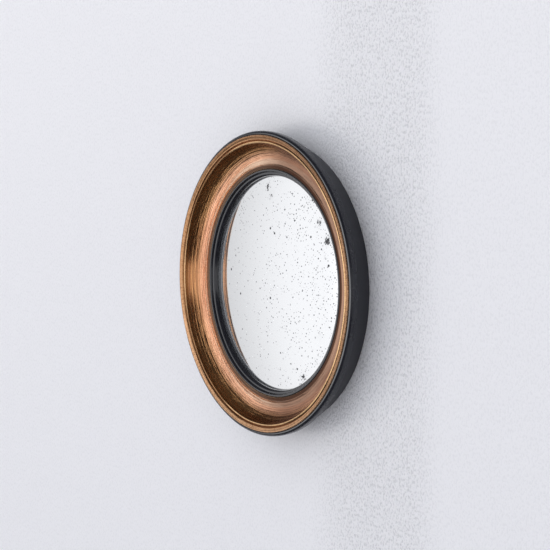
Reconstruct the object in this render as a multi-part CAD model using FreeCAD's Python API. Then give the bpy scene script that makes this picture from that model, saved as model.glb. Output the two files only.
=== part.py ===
import FreeCAD, Part
import math
import os

from FreeCAD import Vector

# A round convex mirror that hangs flush on a wall.
#
# Millimetres, +Z up.  The wall is the plane Y = 0, the mirror looks along -Y, and the
# origin is the centre of the frame's back.  Every turned piece is drawn as a section:
# a radius, and a rise, which is the distance in front of the wall.

# ---- frame: overall sizes -------------------------------------------------------
FRAME_RADIUS = 150.0        # widest point, round the black roll
FRAME_DEPTH = 32.0          # from the wall to the gilded crest
RIM_WIDTH = 44.2            # from the widest point in to the lip over the glass
WALL_INSET = 12.5           # the side tapers in by this much down to the wall
SEAM_RISE = 23.0            # joint between moulding and carcass, seen on the side
SEAM_LEDGE = 0.5            # the moulding oversails the carcass by this much
WALL_EDGE_ROUND = 1.0       # eased edge against the wall

# ---- front moulding, from the outside in ----------------------------------------
ROLL_RADIUS = 3.2           # black half-round roll
ROLL_DROP = 1.2             # roll crest below the gilded crest
ROLL_TUCK = 0.4             # roll draws in by this much down to the seam
QUIRK_WIDTH = 0.8           # sunk line between roll and gilding
QUIRK_DEPTH = 0.7
CREST_ROUND = 0.6           # eased outer edge of the gilded flat
FLAT_WIDTH = 4.3
FLAT_FALL = 1.2             # the flat slopes down towards the groove
GROOVE_WIDTH = 1.4
GROOVE_DEPTH = 1.3
BEAD_RADIUS = 1.5
BEAD_DROP = 1.5             # bead crest below the gilded crest
BEAD_START = math.radians(37.0)     # where the groove runs into the bead, above its middle
SCOOP_STEP_DROP = 0.7       # small step under the bead
SCOOP_STEP_SET = 0.3
SCOOP_LIP_RISE = 16.6       # rise of the scoop's inner end
SCOOP_SAG = 5.6             # how far the scoop is hollowed below its chord
SCOOP_LAND = 3.4            # flat land between scoop and slip
SPIGOT_INSET = 11.5         # spigot radius inside the widest point
SPIGOT_RISE = 12.0          # back face of the spigot

# ---- inner slip ----------------------------------------------------------------
SLIP_WIDTH = 7.2            # from the lip out to the moulding's bore
SLIP_BEAD_RADIUS = 1.7
SLIP_BEAD_RISE = 16.8       # crest of the slip's bead
SLIP_QUIRK_DEPTH = 0.7
SLIP_QUIRK_WIDTH = 0.35
SLIP_OVOLO_RISE = 14.8      # top of the ovolo that falls to the lip
SLIP_OVOLO_BOW = 1.15       # how far the ovolo swells off its chord
SLIP_LIP_HEIGHT = 1.0       # thickness of the lip at its edge
SLIP_LIP_WIDTH = 1.0        # bare lip before the felt begins
FLANGE_WIDTH = 5.0          # hidden flange, trapped behind the moulding
FLANGE_THICKNESS = 3.0

# ---- glass and what holds it ----------------------------------------------------
GLASS_SIGHT_RISE = 10.0     # front of the glass at the lip
DOME_RADIUS = 600.0         # radius of the glass's front
GLASS_THICKNESS = 2.2
GLASS_OVERLAP = 4.2         # glass hidden behind the lip
GLASS_EDGE_BEVEL = 0.4
FELT_THICKNESS = 0.8
PACKING_WIDTH = 6.6
BOARD_THICKNESS = 2.5
BOARD_LEDGE = 2.4           # step that the board rests on

# ---- turn buttons ----------------------------------------------------------------
POCKET_DEPTH = 3.5          # bored recess, level with the back of the board
POCKET_RIM = 1.0            # free space round the button's sweep
POCKET_WALL = 3.0           # timber left between the recess and the outer edge
BUTTON_ANGLES = {"upper_right": 45.0, "upper_left": 135.0, "lower_left": 225.0, "lower_right": 315.0}
BUTTON_TIP_RADIUS = 3.0
BUTTON_TAIL_RADIUS = 4.6
BUTTON_THICKNESS = 1.4
BUTTON_GRIP = 6.0           # how far the tip reaches over the board
BUTTON_EDGE = 0.3           # bevel round the button

# ---- screws --------------------------------------------------------------------
SMALL_SHANK_RADIUS = 1.5    # the buttons' and the hanger's screws
SMALL_HEAD_RADIUS = 3.0
PAN_HEAD_HEIGHT = 1.3
PAN_HEAD_ROUND = 0.8        # rounded rim of a pan head
FLAT_HEAD_HEIGHT = 1.4
BUTTON_SCREW_LENGTH = 7.0
HANGER_SCREW_LENGTH = 9.5
LONG_SHANK_RADIUS = 1.6     # the screws that join moulding and carcass
LONG_HEAD_RADIUS = 3.2
LONG_HEAD_HEIGHT = 1.9
MOULDING_SCREW_EDGE = 5.0   # in from the frame's edge against the wall
MOULDING_SCREW_COVER = 1.5  # timber left between the screw's point and the scoop
MOULDING_SCREW_COUNT = 6
SCREW_POINT_LENGTH = 2.4    # pointed end
SCREW_POINT_RADIUS = 0.15
SCREW_SINK = 0.3            # countersunk heads sit this far under the surface
DRIVER_SLOT_WIDTH = 0.8
DRIVER_SLOT_DEPTH = 0.6

# ---- keyhole hanger ---------------------------------------------------------------
HANGER_LENGTH = 44.0
HANGER_MARGIN = 3.25        # timber above and below the plate
HANGER_THICKNESS = 1.5
HANGER_SCREW_SPACING = 32.0
KEYHOLE_ENTRY_RADIUS = 4.5
KEYHOLE_SLOT_WIDTH = 4.4
KEYHOLE_TRAVEL = 5.0        # from the entry's centre to the slot's end
KEYHOLE_OFFSET = 1.9        # entry below the plate's middle
HEAD_ROOM_MARGIN = 0.7      # the cavity behind the plate is this much wider than the entry
HEAD_ROOM_DEPTH = 6.0

# ---- wall pads ---------------------------------------------------------------------
PAD_RADIUS = 6.0
PAD_THICKNESS = 0.8
PAD_ANGLES = (255.0, 285.0)

# ---- clearances ----------------------------------------------------------------
RING_CLEARANCE = 0.1        # between turned rings that slip into each other
GLASS_CLEARANCE = 0.6       # round the edge of the glass
BOARD_CLEARANCE = 0.5       # round the edge of the board
SOFT_CLEARANCE = 0.05       # felt, foam and glass against their seats
LIP_CLEARANCE = 0.3         # between lip and glass
BUTTON_CLEARANCE = 0.2      # above and below each button
PIVOT_CLEARANCE = 0.1       # screw in a turn button
SHANK_CLEARANCE = 0.05      # screw in its hole
CUT_PAST = 1.0              # cutters run this far past a face
TOUCH = 1e-6                # edges this close to a plane lie on it

# ---- sizes that follow --------------------------------------------------------
wall_radius = FRAME_RADIUS - WALL_INSET
sight_radius = FRAME_RADIUS - RIM_WIDTH
roll_centre_radius = FRAME_RADIUS - ROLL_RADIUS
roll_centre_rise = FRAME_DEPTH - ROLL_DROP - ROLL_RADIUS
quirk_middle_radius = roll_centre_radius - QUIRK_WIDTH / 2
quirk_inner_radius = roll_centre_radius - QUIRK_WIDTH
quirk_floor_rise = FRAME_DEPTH - ROLL_DROP - QUIRK_DEPTH
flat_inner_radius = quirk_inner_radius - FLAT_WIDTH
groove_inner_radius = flat_inner_radius - GROOVE_WIDTH
bead_centre_radius = groove_inner_radius - BEAD_RADIUS * math.cos(BEAD_START)
bead_centre_rise = FRAME_DEPTH - BEAD_DROP - BEAD_RADIUS
scoop_outer_radius = bead_centre_radius - BEAD_RADIUS - SCOOP_STEP_SET
scoop_outer_rise = bead_centre_rise - SCOOP_STEP_DROP
slip_outer_radius = sight_radius + SLIP_WIDTH
moulding_bore = slip_outer_radius + RING_CLEARANCE
scoop_inner_radius = moulding_bore + SCOOP_LAND
spigot_radius = FRAME_RADIUS - SPIGOT_INSET
seam_radius = FRAME_RADIUS - ROLL_TUCK - SEAM_LEDGE
flange_radius = slip_outer_radius + FLANGE_WIDTH
flange_back_rise = SPIGOT_RISE - FLANGE_THICKNESS
glass_radius = sight_radius + GLASS_OVERLAP
glass_well_radius = glass_radius + GLASS_CLEARANCE
dome_centre_rise = GLASS_SIGHT_RISE - math.sqrt(DOME_RADIUS ** 2 - sight_radius ** 2)
glass_back_sphere = DOME_RADIUS - GLASS_THICKNESS
board_back_rise = POCKET_DEPTH
board_front_rise = board_back_rise + BOARD_THICKNESS
board_well_radius = glass_well_radius + BOARD_LEDGE
board_radius = board_well_radius - BOARD_CLEARANCE
button_tip_at = board_radius - BUTTON_GRIP
pocket_edge_at = wall_radius - WALL_EDGE_ROUND - POCKET_WALL
button_reach = (pocket_edge_at - POCKET_RIM - button_tip_at) / 2
pivot_radius = button_tip_at + button_reach
pocket_radius = button_reach + POCKET_RIM
button_front_rise = POCKET_DEPTH - BUTTON_CLEARANCE
button_back_rise = button_front_rise - BUTTON_THICKNESS
button_screw_head_rise = button_back_rise - BUTTON_CLEARANCE
button_screw_tip = button_screw_head_rise + BUTTON_SCREW_LENGTH
small_flat_head = {"shank": SMALL_SHANK_RADIUS, "head": SMALL_HEAD_RADIUS, "height": FLAT_HEAD_HEIGHT}
long_flat_head = {"shank": LONG_SHANK_RADIUS, "head": LONG_HEAD_RADIUS, "height": LONG_HEAD_HEIGHT}
hanger_screw_tip = SCREW_SINK + HANGER_SCREW_LENGTH
moulding_screw_radius = wall_radius - MOULDING_SCREW_EDGE
moulding_screw_angles = [index * 360.0 / MOULDING_SCREW_COUNT for index in range(MOULDING_SCREW_COUNT)]
felt_inner_radius = sight_radius + SLIP_LIP_WIDTH
wall_face_middle = (board_well_radius + wall_radius) / 2
hanger_height = wall_radius - board_well_radius - 2 * HANGER_MARGIN
hanger_z = wall_face_middle
keyhole_entry_z = hanger_z - KEYHOLE_OFFSET
keyhole_end_z = keyhole_entry_z + KEYHOLE_TRAVEL
head_room_radius = KEYHOLE_ENTRY_RADIUS + HEAD_ROOM_MARGIN


# ---- drawing helpers ------------------------------------------------------------
FORWARD = Vector(0, -1, 0)      # out of the wall, the way the mirror looks


def at(radius, rise):
    """Point of a section: this far from the axis and this far in front of the wall."""
    return Vector(radius, -rise, 0)


def sphere_rise(radius, sphere_radius):
    """Rise of a sphere round the dome's centre, at this distance from the axis."""
    return dome_centre_rise + math.sqrt(sphere_radius ** 2 - radius ** 2)


def line(start, end):
    return Part.LineSegment(at(*start), at(*end)).toShape()


def lines(points):
    """Straight edges from each point to the next."""
    return [line(start, end) for start, end in zip(points, points[1:])]


def arc(start, middle, end):
    return Part.Arc(at(*start), at(*middle), at(*end)).toShape()


def bowed(start, end, bow):
    """Arc from start to end that swells by bow to the right of its chord."""
    run = end[0] - start[0]
    climb = end[1] - start[1]
    chord = math.hypot(run, climb)
    middle_radius = (start[0] + end[0]) / 2 + bow * climb / chord
    middle_rise = (start[1] + end[1]) / 2 - bow * run / chord
    return arc(start, (middle_radius, middle_rise), end)


def quarter_bow(radius):
    """How far a quarter circle swells off its chord."""
    return radius * (1 - math.sqrt(0.5))


def on_sphere(radius, sphere_radius):
    return (radius, sphere_rise(radius, sphere_radius))


def sphere_arc(start_radius, end_radius, sphere_radius):
    """Arc of the dome's section between two radii."""
    middle_radius = (start_radius + end_radius) / 2
    return arc(*[on_sphere(radius, sphere_radius) for radius in (start_radius, middle_radius, end_radius)])


def turned(edges):
    """Solid of revolution about the mirror's axis."""
    wire = Part.Wire(Part.__sortEdges__(edges))
    return Part.Face(wire).revolve(Vector(0, 0, 0), Vector(0, 1, 0), 360)


def placed(shape, angle, radius):
    """Copy of a shape drawn at the axis, moved out by radius and turned to this angle."""
    copy = shape.copy()
    copy.translate(Vector(radius, 0, 0))
    copy.rotate(Vector(0, 0, 0), Vector(0, 1, 0), -angle)
    return copy


def post(radius, low_rise, high_rise, x=0.0, z=0.0):
    """Cylinder along Y that stands between two rises."""
    return Part.makeCylinder(radius, high_rise - low_rise, Vector(x, -low_rise, z), FORWARD)


def cone(low_radius, high_radius, low_rise, high_rise):
    return Part.makeCone(low_radius, high_radius, high_rise - low_rise, Vector(0, -low_rise, 0), FORWARD)


def edges_at(shape, rise):
    """Edges that lie in the plane at this rise."""
    planes = [(edge, edge.BoundBox) for edge in shape.Edges]
    return [edge for edge, box in planes if abs(box.YMin + rise) < TOUCH and abs(box.YMax + rise) < TOUCH]


def slab(width, height, low_rise, high_rise, x=0.0, z=0.0):
    """Rectangular block centred on x and z, between two rises."""
    corner = Vector(x - width / 2, -high_rise, z - height / 2)
    return Part.makeBox(width, high_rise - low_rise, height, corner)


def spread(shape, angles, radius):
    """Copies of a shape round the axis."""
    return [placed(shape, angle, radius) for angle in angles]


# ---- the scoop's circle ----------------------------------------------------------
def scoop_circle():
    """Centre and radius of the circle that hollows the scoop by its sag below the chord."""
    chord_radius = scoop_outer_radius - scoop_inner_radius
    chord_rise = scoop_outer_rise - SCOOP_LIP_RISE
    chord = math.hypot(chord_radius, chord_rise)
    circle_radius = (chord ** 2 / 4 + SCOOP_SAG ** 2) / (2 * SCOOP_SAG)
    lift = (circle_radius - SCOOP_SAG) / chord
    centre_radius = (scoop_outer_radius + scoop_inner_radius) / 2 - chord_rise * lift
    centre_rise = (scoop_outer_rise + SCOOP_LIP_RISE) / 2 + chord_radius * lift
    return centre_radius, centre_rise, circle_radius


def scoop_rise(radius):
    """Rise of the scoop's surface at this distance from the axis."""
    centre_radius, centre_rise, circle_radius = scoop_circle()
    return centre_rise - math.sqrt(circle_radius ** 2 - (radius - centre_radius) ** 2)


def scoop_arc():
    middle_radius = (scoop_outer_radius + scoop_inner_radius) / 2
    return arc(
        (scoop_outer_radius, scoop_outer_rise),
        (middle_radius, scoop_rise(middle_radius)),
        (scoop_inner_radius, SCOOP_LIP_RISE),
    )


# ---- turned rings -----------------------------------------------------------------
def roll_edges():
    """Black roll: from the seam up round the outside to the quirk beside the gilding."""
    seam = (FRAME_RADIUS - ROLL_TUCK, SEAM_RISE)
    equator = (FRAME_RADIUS, roll_centre_rise)
    crest = (roll_centre_radius, roll_centre_rise + ROLL_RADIUS)
    floor = quirk_floor_rise
    return [
        line(seam, equator),
        bowed(equator, crest, quarter_bow(ROLL_RADIUS)),
        line(crest, (quirk_middle_radius, floor)),
        line((quirk_middle_radius, floor), (quirk_inner_radius, floor)),
    ]


def gilded_edges():
    """Gilded face: crest, sloping flat, groove, bead, scoop and land."""
    crest_low = (quirk_inner_radius, FRAME_DEPTH - CREST_ROUND)
    crest_top = (quirk_inner_radius - CREST_ROUND, FRAME_DEPTH)
    flat_end = (flat_inner_radius, FRAME_DEPTH - FLAT_FALL)
    groove_low = (flat_inner_radius - GROOVE_WIDTH / 2, flat_end[1] - GROOVE_DEPTH)
    bead_start = (groove_inner_radius, bead_centre_rise + BEAD_RADIUS * math.sin(BEAD_START))
    bead_top = (bead_centre_radius, bead_centre_rise + BEAD_RADIUS)
    bead_end = (bead_centre_radius - BEAD_RADIUS, bead_centre_rise)
    return [
        line((quirk_inner_radius, quirk_floor_rise), crest_low),
        bowed(crest_low, crest_top, quarter_bow(CREST_ROUND)),
        line(crest_top, flat_end),
        line(flat_end, groove_low),
        line(groove_low, bead_start),
        arc(bead_start, bead_top, bead_end),
        line(bead_end, (scoop_outer_radius, scoop_outer_rise)),
        scoop_arc(),
        line((scoop_inner_radius, SCOOP_LIP_RISE), (moulding_bore, SCOOP_LIP_RISE)),
    ]


def front_moulding():
    back = [
        (moulding_bore, SCOOP_LIP_RISE),
        (moulding_bore, SPIGOT_RISE),
        (spigot_radius, SPIGOT_RISE),
        (spigot_radius, SEAM_RISE),
        (FRAME_RADIUS - ROLL_TUCK, SEAM_RISE),
    ]
    ring = turned(roll_edges() + gilded_edges() + lines(back))
    return ring.cut(spread(moulding_screw_hole(), moulding_screw_angles, moulding_screw_radius))


def carcass_blank():
    """Tapered outer ring with the spigot's socket, the flange's seat and the two wells."""
    socket_radius = spigot_radius + RING_CLEARANCE
    flange_seat = flange_radius + RING_CLEARANCE
    taper = (seam_radius - wall_radius) / SEAM_RISE
    outline = [
        (wall_radius + taper * WALL_EDGE_ROUND, WALL_EDGE_ROUND),
        (seam_radius, SEAM_RISE),
        (socket_radius, SEAM_RISE),
        (socket_radius, SPIGOT_RISE),
        (flange_seat, SPIGOT_RISE),
        (flange_seat, flange_back_rise),
        (glass_well_radius, flange_back_rise),
        (glass_well_radius, board_front_rise),
        (board_well_radius, board_front_rise),
        (board_well_radius, 0),
        (wall_radius - WALL_EDGE_ROUND, 0),
    ]
    eased_edge = bowed(outline[-1], outline[0], quarter_bow(WALL_EDGE_ROUND))
    return turned(lines(outline) + [eased_edge])


def carcass_ring():
    ring = carcass_blank()
    pocket = post(pocket_radius, -CUT_PAST, POCKET_DEPTH)
    pilot = pointed_shank(SMALL_SHANK_RADIUS + SHANK_CLEARANCE, 0, button_screw_tip + SHANK_CLEARANCE)
    pad_recess = post(PAD_RADIUS + SOFT_CLEARANCE, -CUT_PAST, PAD_THICKNESS)
    cuts = spread(pocket.fuse(pilot), BUTTON_ANGLES.values(), pivot_radius)
    cuts += spread(moulding_screw_hole(), moulding_screw_angles, moulding_screw_radius)
    cuts += spread(pad_recess, PAD_ANGLES, wall_face_middle)
    cuts += [hanger_recess()]
    return ring.cut(cuts)


def slip_face():
    """Bead, quirk and ovolo, from the moulding's bore in to the lip over the glass."""
    bead_radius = slip_outer_radius - SLIP_BEAD_RADIUS
    bead_side = SLIP_BEAD_RISE - SLIP_BEAD_RADIUS
    bead_outer = (slip_outer_radius, bead_side)
    bead_inner = (bead_radius - SLIP_BEAD_RADIUS, bead_side)
    quirk_floor = (bead_inner[0], bead_side - SLIP_QUIRK_DEPTH)
    ovolo_top = (quirk_floor[0] - SLIP_QUIRK_WIDTH, SLIP_OVOLO_RISE)
    lip = on_sphere(sight_radius, DOME_RADIUS + LIP_CLEARANCE)
    ovolo_end = (sight_radius, lip[1] + SLIP_LIP_HEIGHT)
    return [
        arc(bead_outer, (bead_radius, SLIP_BEAD_RISE), bead_inner),
        line(bead_inner, quirk_floor),
        line(quirk_floor, ovolo_top),
        bowed(ovolo_top, ovolo_end, SLIP_OVOLO_BOW),
        line(ovolo_end, lip),
    ]


def slip_seat():
    """Underside of the lip and the dished seat that follow the dome."""
    lip_sphere = DOME_RADIUS + LIP_CLEARANCE
    felt_sphere = DOME_RADIUS + FELT_THICKNESS + 2 * SOFT_CLEARANCE
    return [
        sphere_arc(sight_radius, felt_inner_radius, lip_sphere),
        line(on_sphere(felt_inner_radius, lip_sphere), on_sphere(felt_inner_radius, felt_sphere)),
        sphere_arc(felt_inner_radius, glass_well_radius, felt_sphere),
        line(on_sphere(glass_well_radius, felt_sphere), (glass_well_radius, flange_back_rise)),
    ]


def inner_slip():
    """Black slip: moulded face, glass seat and the hidden flange behind."""
    flange = lines([
        (glass_well_radius, flange_back_rise),
        (flange_radius, flange_back_rise),
        (flange_radius, SPIGOT_RISE),
        (slip_outer_radius, SPIGOT_RISE),
        (slip_outer_radius, SLIP_BEAD_RISE - SLIP_BEAD_RADIUS),
    ])
    return turned(slip_face() + slip_seat() + flange)


# ---- glass, felt, packing and board ---------------------------------------------------
def convex_glass():
    bevel_radius = glass_radius - GLASS_EDGE_BEVEL
    front = on_sphere(bevel_radius, DOME_RADIUS)
    back = on_sphere(bevel_radius, glass_back_sphere)
    rim = [
        front,
        (glass_radius, front[1] - GLASS_EDGE_BEVEL),
        (glass_radius, back[1] + GLASS_EDGE_BEVEL),
        back,
    ]
    faces = [
        sphere_arc(0, bevel_radius, DOME_RADIUS),
        sphere_arc(bevel_radius, 0, glass_back_sphere),
        line(on_sphere(0, glass_back_sphere), on_sphere(0, DOME_RADIUS)),
    ]
    return turned(faces + lines(rim))


def glass_seat_felt():
    inner = felt_inner_radius + RING_CLEARANCE
    near = DOME_RADIUS + SOFT_CLEARANCE
    far = near + FELT_THICKNESS
    edges = [
        sphere_arc(inner, glass_radius, near),
        line(on_sphere(glass_radius, near), on_sphere(glass_radius, far)),
        sphere_arc(glass_radius, inner, far),
        line(on_sphere(inner, far), on_sphere(inner, near)),
    ]
    return turned(edges)


def foam_packing_ring():
    inner = glass_radius - PACKING_WIDTH
    outer = glass_radius - GLASS_EDGE_BEVEL
    front = glass_back_sphere - SOFT_CLEARANCE
    sides = [
        on_sphere(outer, front),
        (outer, board_front_rise),
        (inner, board_front_rise),
        on_sphere(inner, front),
    ]
    return turned([sphere_arc(inner, outer, front)] + lines(sides))


def back_board():
    return post(board_radius, board_back_rise, board_front_rise)


# ---- turn buttons --------------------------------------------------------------------
def turn_button():
    """Flat tapered plate, drawn with its pivot at the axis and its tip towards -X."""
    tip_centre = button_reach - BUTTON_TIP_RADIUS
    lean = math.asin((BUTTON_TAIL_RADIUS - BUTTON_TIP_RADIUS) / tip_centre)
    back = Vector(0, -button_back_rise, 0)
    side = Vector(-math.sin(lean), 0, math.cos(lean))
    side_low = Vector(side.x, 0, -side.z)
    tip_middle = back - Vector(tip_centre, 0, 0)
    tail = back + side * BUTTON_TAIL_RADIUS
    tail_low = back + side_low * BUTTON_TAIL_RADIUS
    tip = tip_middle + side * BUTTON_TIP_RADIUS
    tip_low = tip_middle + side_low * BUTTON_TIP_RADIUS
    outline = Part.Wire([
        Part.Arc(tail_low, back + Vector(BUTTON_TAIL_RADIUS, 0, 0), tail).toShape(),
        Part.LineSegment(tail, tip).toShape(),
        Part.Arc(tip, back - Vector(button_reach, 0, 0), tip_low).toShape(),
        Part.LineSegment(tip_low, tail_low).toShape(),
    ])
    plate = Part.Face(outline).extrude(FORWARD * BUTTON_THICKNESS)
    rims = edges_at(plate, button_back_rise) + edges_at(plate, button_front_rise)
    plate = plate.makeChamfer(BUTTON_EDGE, rims)
    pivot_hole = post(SMALL_SHANK_RADIUS + PIVOT_CLEARANCE, 0, button_front_rise + CUT_PAST)
    return plate.cut(pivot_hole)


# ---- screws -----------------------------------------------------------------------------
def pointed_shank(radius, low_rise, tip_rise):
    straight_end = tip_rise - SCREW_POINT_LENGTH
    body = post(radius, low_rise, straight_end)
    return body.fuse(cone(radius, SCREW_POINT_RADIUS, straight_end, tip_rise))


def driver_slot(head_radius, head_rise):
    length = 2 * (head_radius + CUT_PAST)
    return slab(DRIVER_SLOT_WIDTH, length, head_rise - CUT_PAST, head_rise + DRIVER_SLOT_DEPTH)


def button_screw():
    """Pan-head screw whose head stands just clear of the button."""
    head_back = button_screw_head_rise - PAN_HEAD_HEIGHT
    head = post(SMALL_HEAD_RADIUS, head_back, button_screw_head_rise)
    head = head.makeFillet(PAN_HEAD_ROUND, edges_at(head, head_back))
    shank = pointed_shank(SMALL_SHANK_RADIUS, button_screw_head_rise, button_screw_tip)
    return head.fuse(shank).cut(driver_slot(SMALL_HEAD_RADIUS, head_back)).removeSplitter()


def countersunk_screw(screw, tip_rise):
    """Flat-head wood screw whose head lies just under the wall plane."""
    neck = SCREW_SINK + screw["height"]
    head = cone(screw["head"], screw["shank"], SCREW_SINK, neck)
    shank = pointed_shank(screw["shank"], neck, tip_rise)
    return head.fuse(shank).cut(driver_slot(screw["head"], SCREW_SINK)).removeSplitter()


def countersunk_hole(screw, tip_rise):
    """Hole for a flat-head screw: a mouth, a cone and a pointed bore."""
    shank = screw["shank"] + SHANK_CLEARANCE
    head = screw["head"] + SHANK_CLEARANCE
    neck = SCREW_SINK + screw["height"]
    mouth = post(head, -CUT_PAST, SCREW_SINK)
    sink = cone(head, shank, SCREW_SINK, neck)
    return mouth.fuse([sink, pointed_shank(shank, neck, tip_rise + SHANK_CLEARANCE)])


def moulding_screw_tip():
    """The point stops short of the scoop's surface."""
    return scoop_rise(moulding_screw_radius) - MOULDING_SCREW_COVER


def moulding_screw_hole():
    return countersunk_hole(long_flat_head, moulding_screw_tip())


def moulding_screws():
    screw = countersunk_screw(long_flat_head, moulding_screw_tip())
    return spread(screw, moulding_screw_angles, moulding_screw_radius)


# ---- keyhole hanger --------------------------------------------------------------------
def rounded_bar(length, height, low_rise, high_rise):
    """Bar with half-round ends, centred on the hanger."""
    straight = length - height
    bar = slab(straight, height, low_rise, high_rise, 0, hanger_z)
    ends = [post(height / 2, low_rise, high_rise, side * straight / 2, hanger_z) for side in (-1, 1)]
    return bar.fuse(ends).removeSplitter()


def at_hanger_screws(shape):
    """Copies of a shape at the hanger's two screws."""
    copies = []
    for side in (-1, 1):
        copy = shape.copy()
        copy.translate(Vector(side * HANGER_SCREW_SPACING / 2, 0, hanger_z))
        copies.append(copy)
    return copies


def hanger_screw_holes():
    return at_hanger_screws(countersunk_hole(small_flat_head, hanger_screw_tip))


def hanger_screws():
    return at_hanger_screws(countersunk_screw(small_flat_head, hanger_screw_tip))


def keyhole(slot_width, entry_radius, low_rise, high_rise):
    """Round entry and a slot that runs up from it to a half-round end."""
    entry = post(entry_radius, low_rise, high_rise, 0, keyhole_entry_z)
    slot_middle = (keyhole_entry_z + keyhole_end_z) / 2
    slot = slab(slot_width, KEYHOLE_TRAVEL, low_rise, high_rise, 0, slot_middle)
    slot_end = post(slot_width / 2, low_rise, high_rise, 0, keyhole_end_z)
    return entry.fuse([slot, slot_end])


def keyhole_hanger():
    plate = rounded_bar(HANGER_LENGTH, hanger_height, 0, HANGER_THICKNESS)
    opening = keyhole(KEYHOLE_SLOT_WIDTH, KEYHOLE_ENTRY_RADIUS, -CUT_PAST, HANGER_THICKNESS + CUT_PAST)
    return plate.cut([opening] + hanger_screw_holes())


def hanger_recess():
    """Pocket for the plate, deeper room behind the keyhole, and the two pilot holes."""
    length = HANGER_LENGTH + 2 * RING_CLEARANCE
    height = hanger_height + 2 * RING_CLEARANCE
    recess = rounded_bar(length, height, -CUT_PAST, HANGER_THICKNESS)
    head_room = keyhole(2 * head_room_radius, head_room_radius, 0, HANGER_THICKNESS + HEAD_ROOM_DEPTH)
    return recess.fuse([head_room] + hanger_screw_holes())


# ---- the whole mirror ---------------------------------------------------------------------
def build():
    """Every node's name with its shape."""
    nodes = {
        "front_moulding": front_moulding(),
        "carcass_ring": carcass_ring(),
        "inner_slip": inner_slip(),
        "glass_seat_felt": glass_seat_felt(),
        "convex_glass": convex_glass(),
        "foam_packing_ring": foam_packing_ring(),
        "back_board": back_board(),
    }
    button = turn_button()
    for place, angle in BUTTON_ANGLES.items():
        nodes["turn_button_" + place] = placed(button, angle, pivot_radius)
    nodes["keyhole_hanger"] = keyhole_hanger()
    pad = post(PAD_RADIUS, 0, PAD_THICKNESS)
    groups = {
        "turn_button_screws": spread(button_screw(), BUTTON_ANGLES.values(), pivot_radius),
        "hanger_screws": hanger_screws(),
        "moulding_screws": moulding_screws(),
        "wall_pads": spread(pad, PAD_ANGLES, wall_face_middle),
    }
    nodes.update({name: Part.makeCompound(solids) for name, solids in groups.items()})
    return nodes


def write(nodes):
    os.makedirs("parts", exist_ok=True)
    for name, shape in nodes.items():
        print(name, "solids", len(shape.Solids), "valid", shape.isValid(), "volume %.1f" % shape.Volume)
        shape.exportStep(os.path.join("parts", name + ".step"))


write(build())
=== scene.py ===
"""Convex butlers mirror: the dressed model.

Every section is drawn as (radius, rise) in millimetres: the distance from the mirror's axis,
and the distance in front of the wall. Objects are in metres, with -Y out of the wall and +Z up.
"""
from __future__ import annotations

import logging
import math
from dataclasses import dataclass, field
from enum import Enum
from typing import Any, Callable, Iterable, Sequence, Union

import bmesh
import bpy
from mathutils import Matrix, Vector

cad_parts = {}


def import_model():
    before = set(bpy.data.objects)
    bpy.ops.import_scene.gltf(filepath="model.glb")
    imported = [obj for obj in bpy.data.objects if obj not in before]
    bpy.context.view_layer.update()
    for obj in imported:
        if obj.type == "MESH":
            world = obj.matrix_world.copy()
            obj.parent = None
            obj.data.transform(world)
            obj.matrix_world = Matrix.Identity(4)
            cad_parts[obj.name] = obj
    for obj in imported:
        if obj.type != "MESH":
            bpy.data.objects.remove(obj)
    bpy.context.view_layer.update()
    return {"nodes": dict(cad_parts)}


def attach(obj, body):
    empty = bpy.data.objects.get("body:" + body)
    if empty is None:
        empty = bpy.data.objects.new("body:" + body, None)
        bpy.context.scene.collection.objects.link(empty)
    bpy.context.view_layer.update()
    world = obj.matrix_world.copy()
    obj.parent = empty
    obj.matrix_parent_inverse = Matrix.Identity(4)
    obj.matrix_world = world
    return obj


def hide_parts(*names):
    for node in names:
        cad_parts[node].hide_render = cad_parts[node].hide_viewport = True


LOG = logging.getLogger("mirror")

Material = bpy.types.Material
Object = bpy.types.Object
Mesh = bpy.types.Mesh
NodeTree = bpy.types.NodeTree
BMesh = bmesh.types.BMesh
Point = tuple[float, float]
Colour = tuple[float, float, float]
Term = Union["Value", float]

MM = 0.001
FIXED_BODY = "frame"
SEED = 7
RING_SEGMENTS = 384
PLAIN_SEGMENTS = 256  # for rings with a plain section
SHARP_ANGLE = math.radians(34.0)
EASED_ANGLE = math.radians(24.0)
MERGE_DISTANCE = 1e-7
SAME_POINT = 1e-6  # millimetres
TAU = math.tau
QUARTER_BOW = 1 - math.sqrt(0.5)  # swell of a quarter circle with a radius of one
BUTTON_CIRCLE = 119.5  # the turn buttons' screws, from the mirror's middle, in millimetres
SCREW_CIRCLE = 132.5  # the moulding screws, likewise
FITTING_CIRCLE = 125.25  # the hanger and the wall pads, likewise
HANGER_SCREW_SPACING = 32.0
WALL_PLANE = 0.0001  # the wall's y, in metres, just behind the mirror


# ---- node building ------------------------------------------------------------------
def binary(operation: str, swapped: bool = False) -> Callable[["Value", Term], "Value"]:
    """Makes an operator of two operands out of a Math node.

    Args:
        operation: The Math node's operation.
        swapped: Whether the operator's own value comes second.

    Returns:
        The method.
    """

    def method(self: "Value", other: Term) -> "Value":
        """The operation on this value and another."""
        return self.graph.math(operation, *((other, self) if swapped else (self, other)))

    return method


def unary(operation: str) -> Callable[["Value"], "Value"]:
    """Makes an operator of one operand out of a Math node.

    Args:
        operation: The Math node's operation.

    Returns:
        The method.
    """

    def method(self: "Value") -> "Value":
        """The operation on this value."""
        return self.graph.math(operation, self)

    return method


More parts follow.
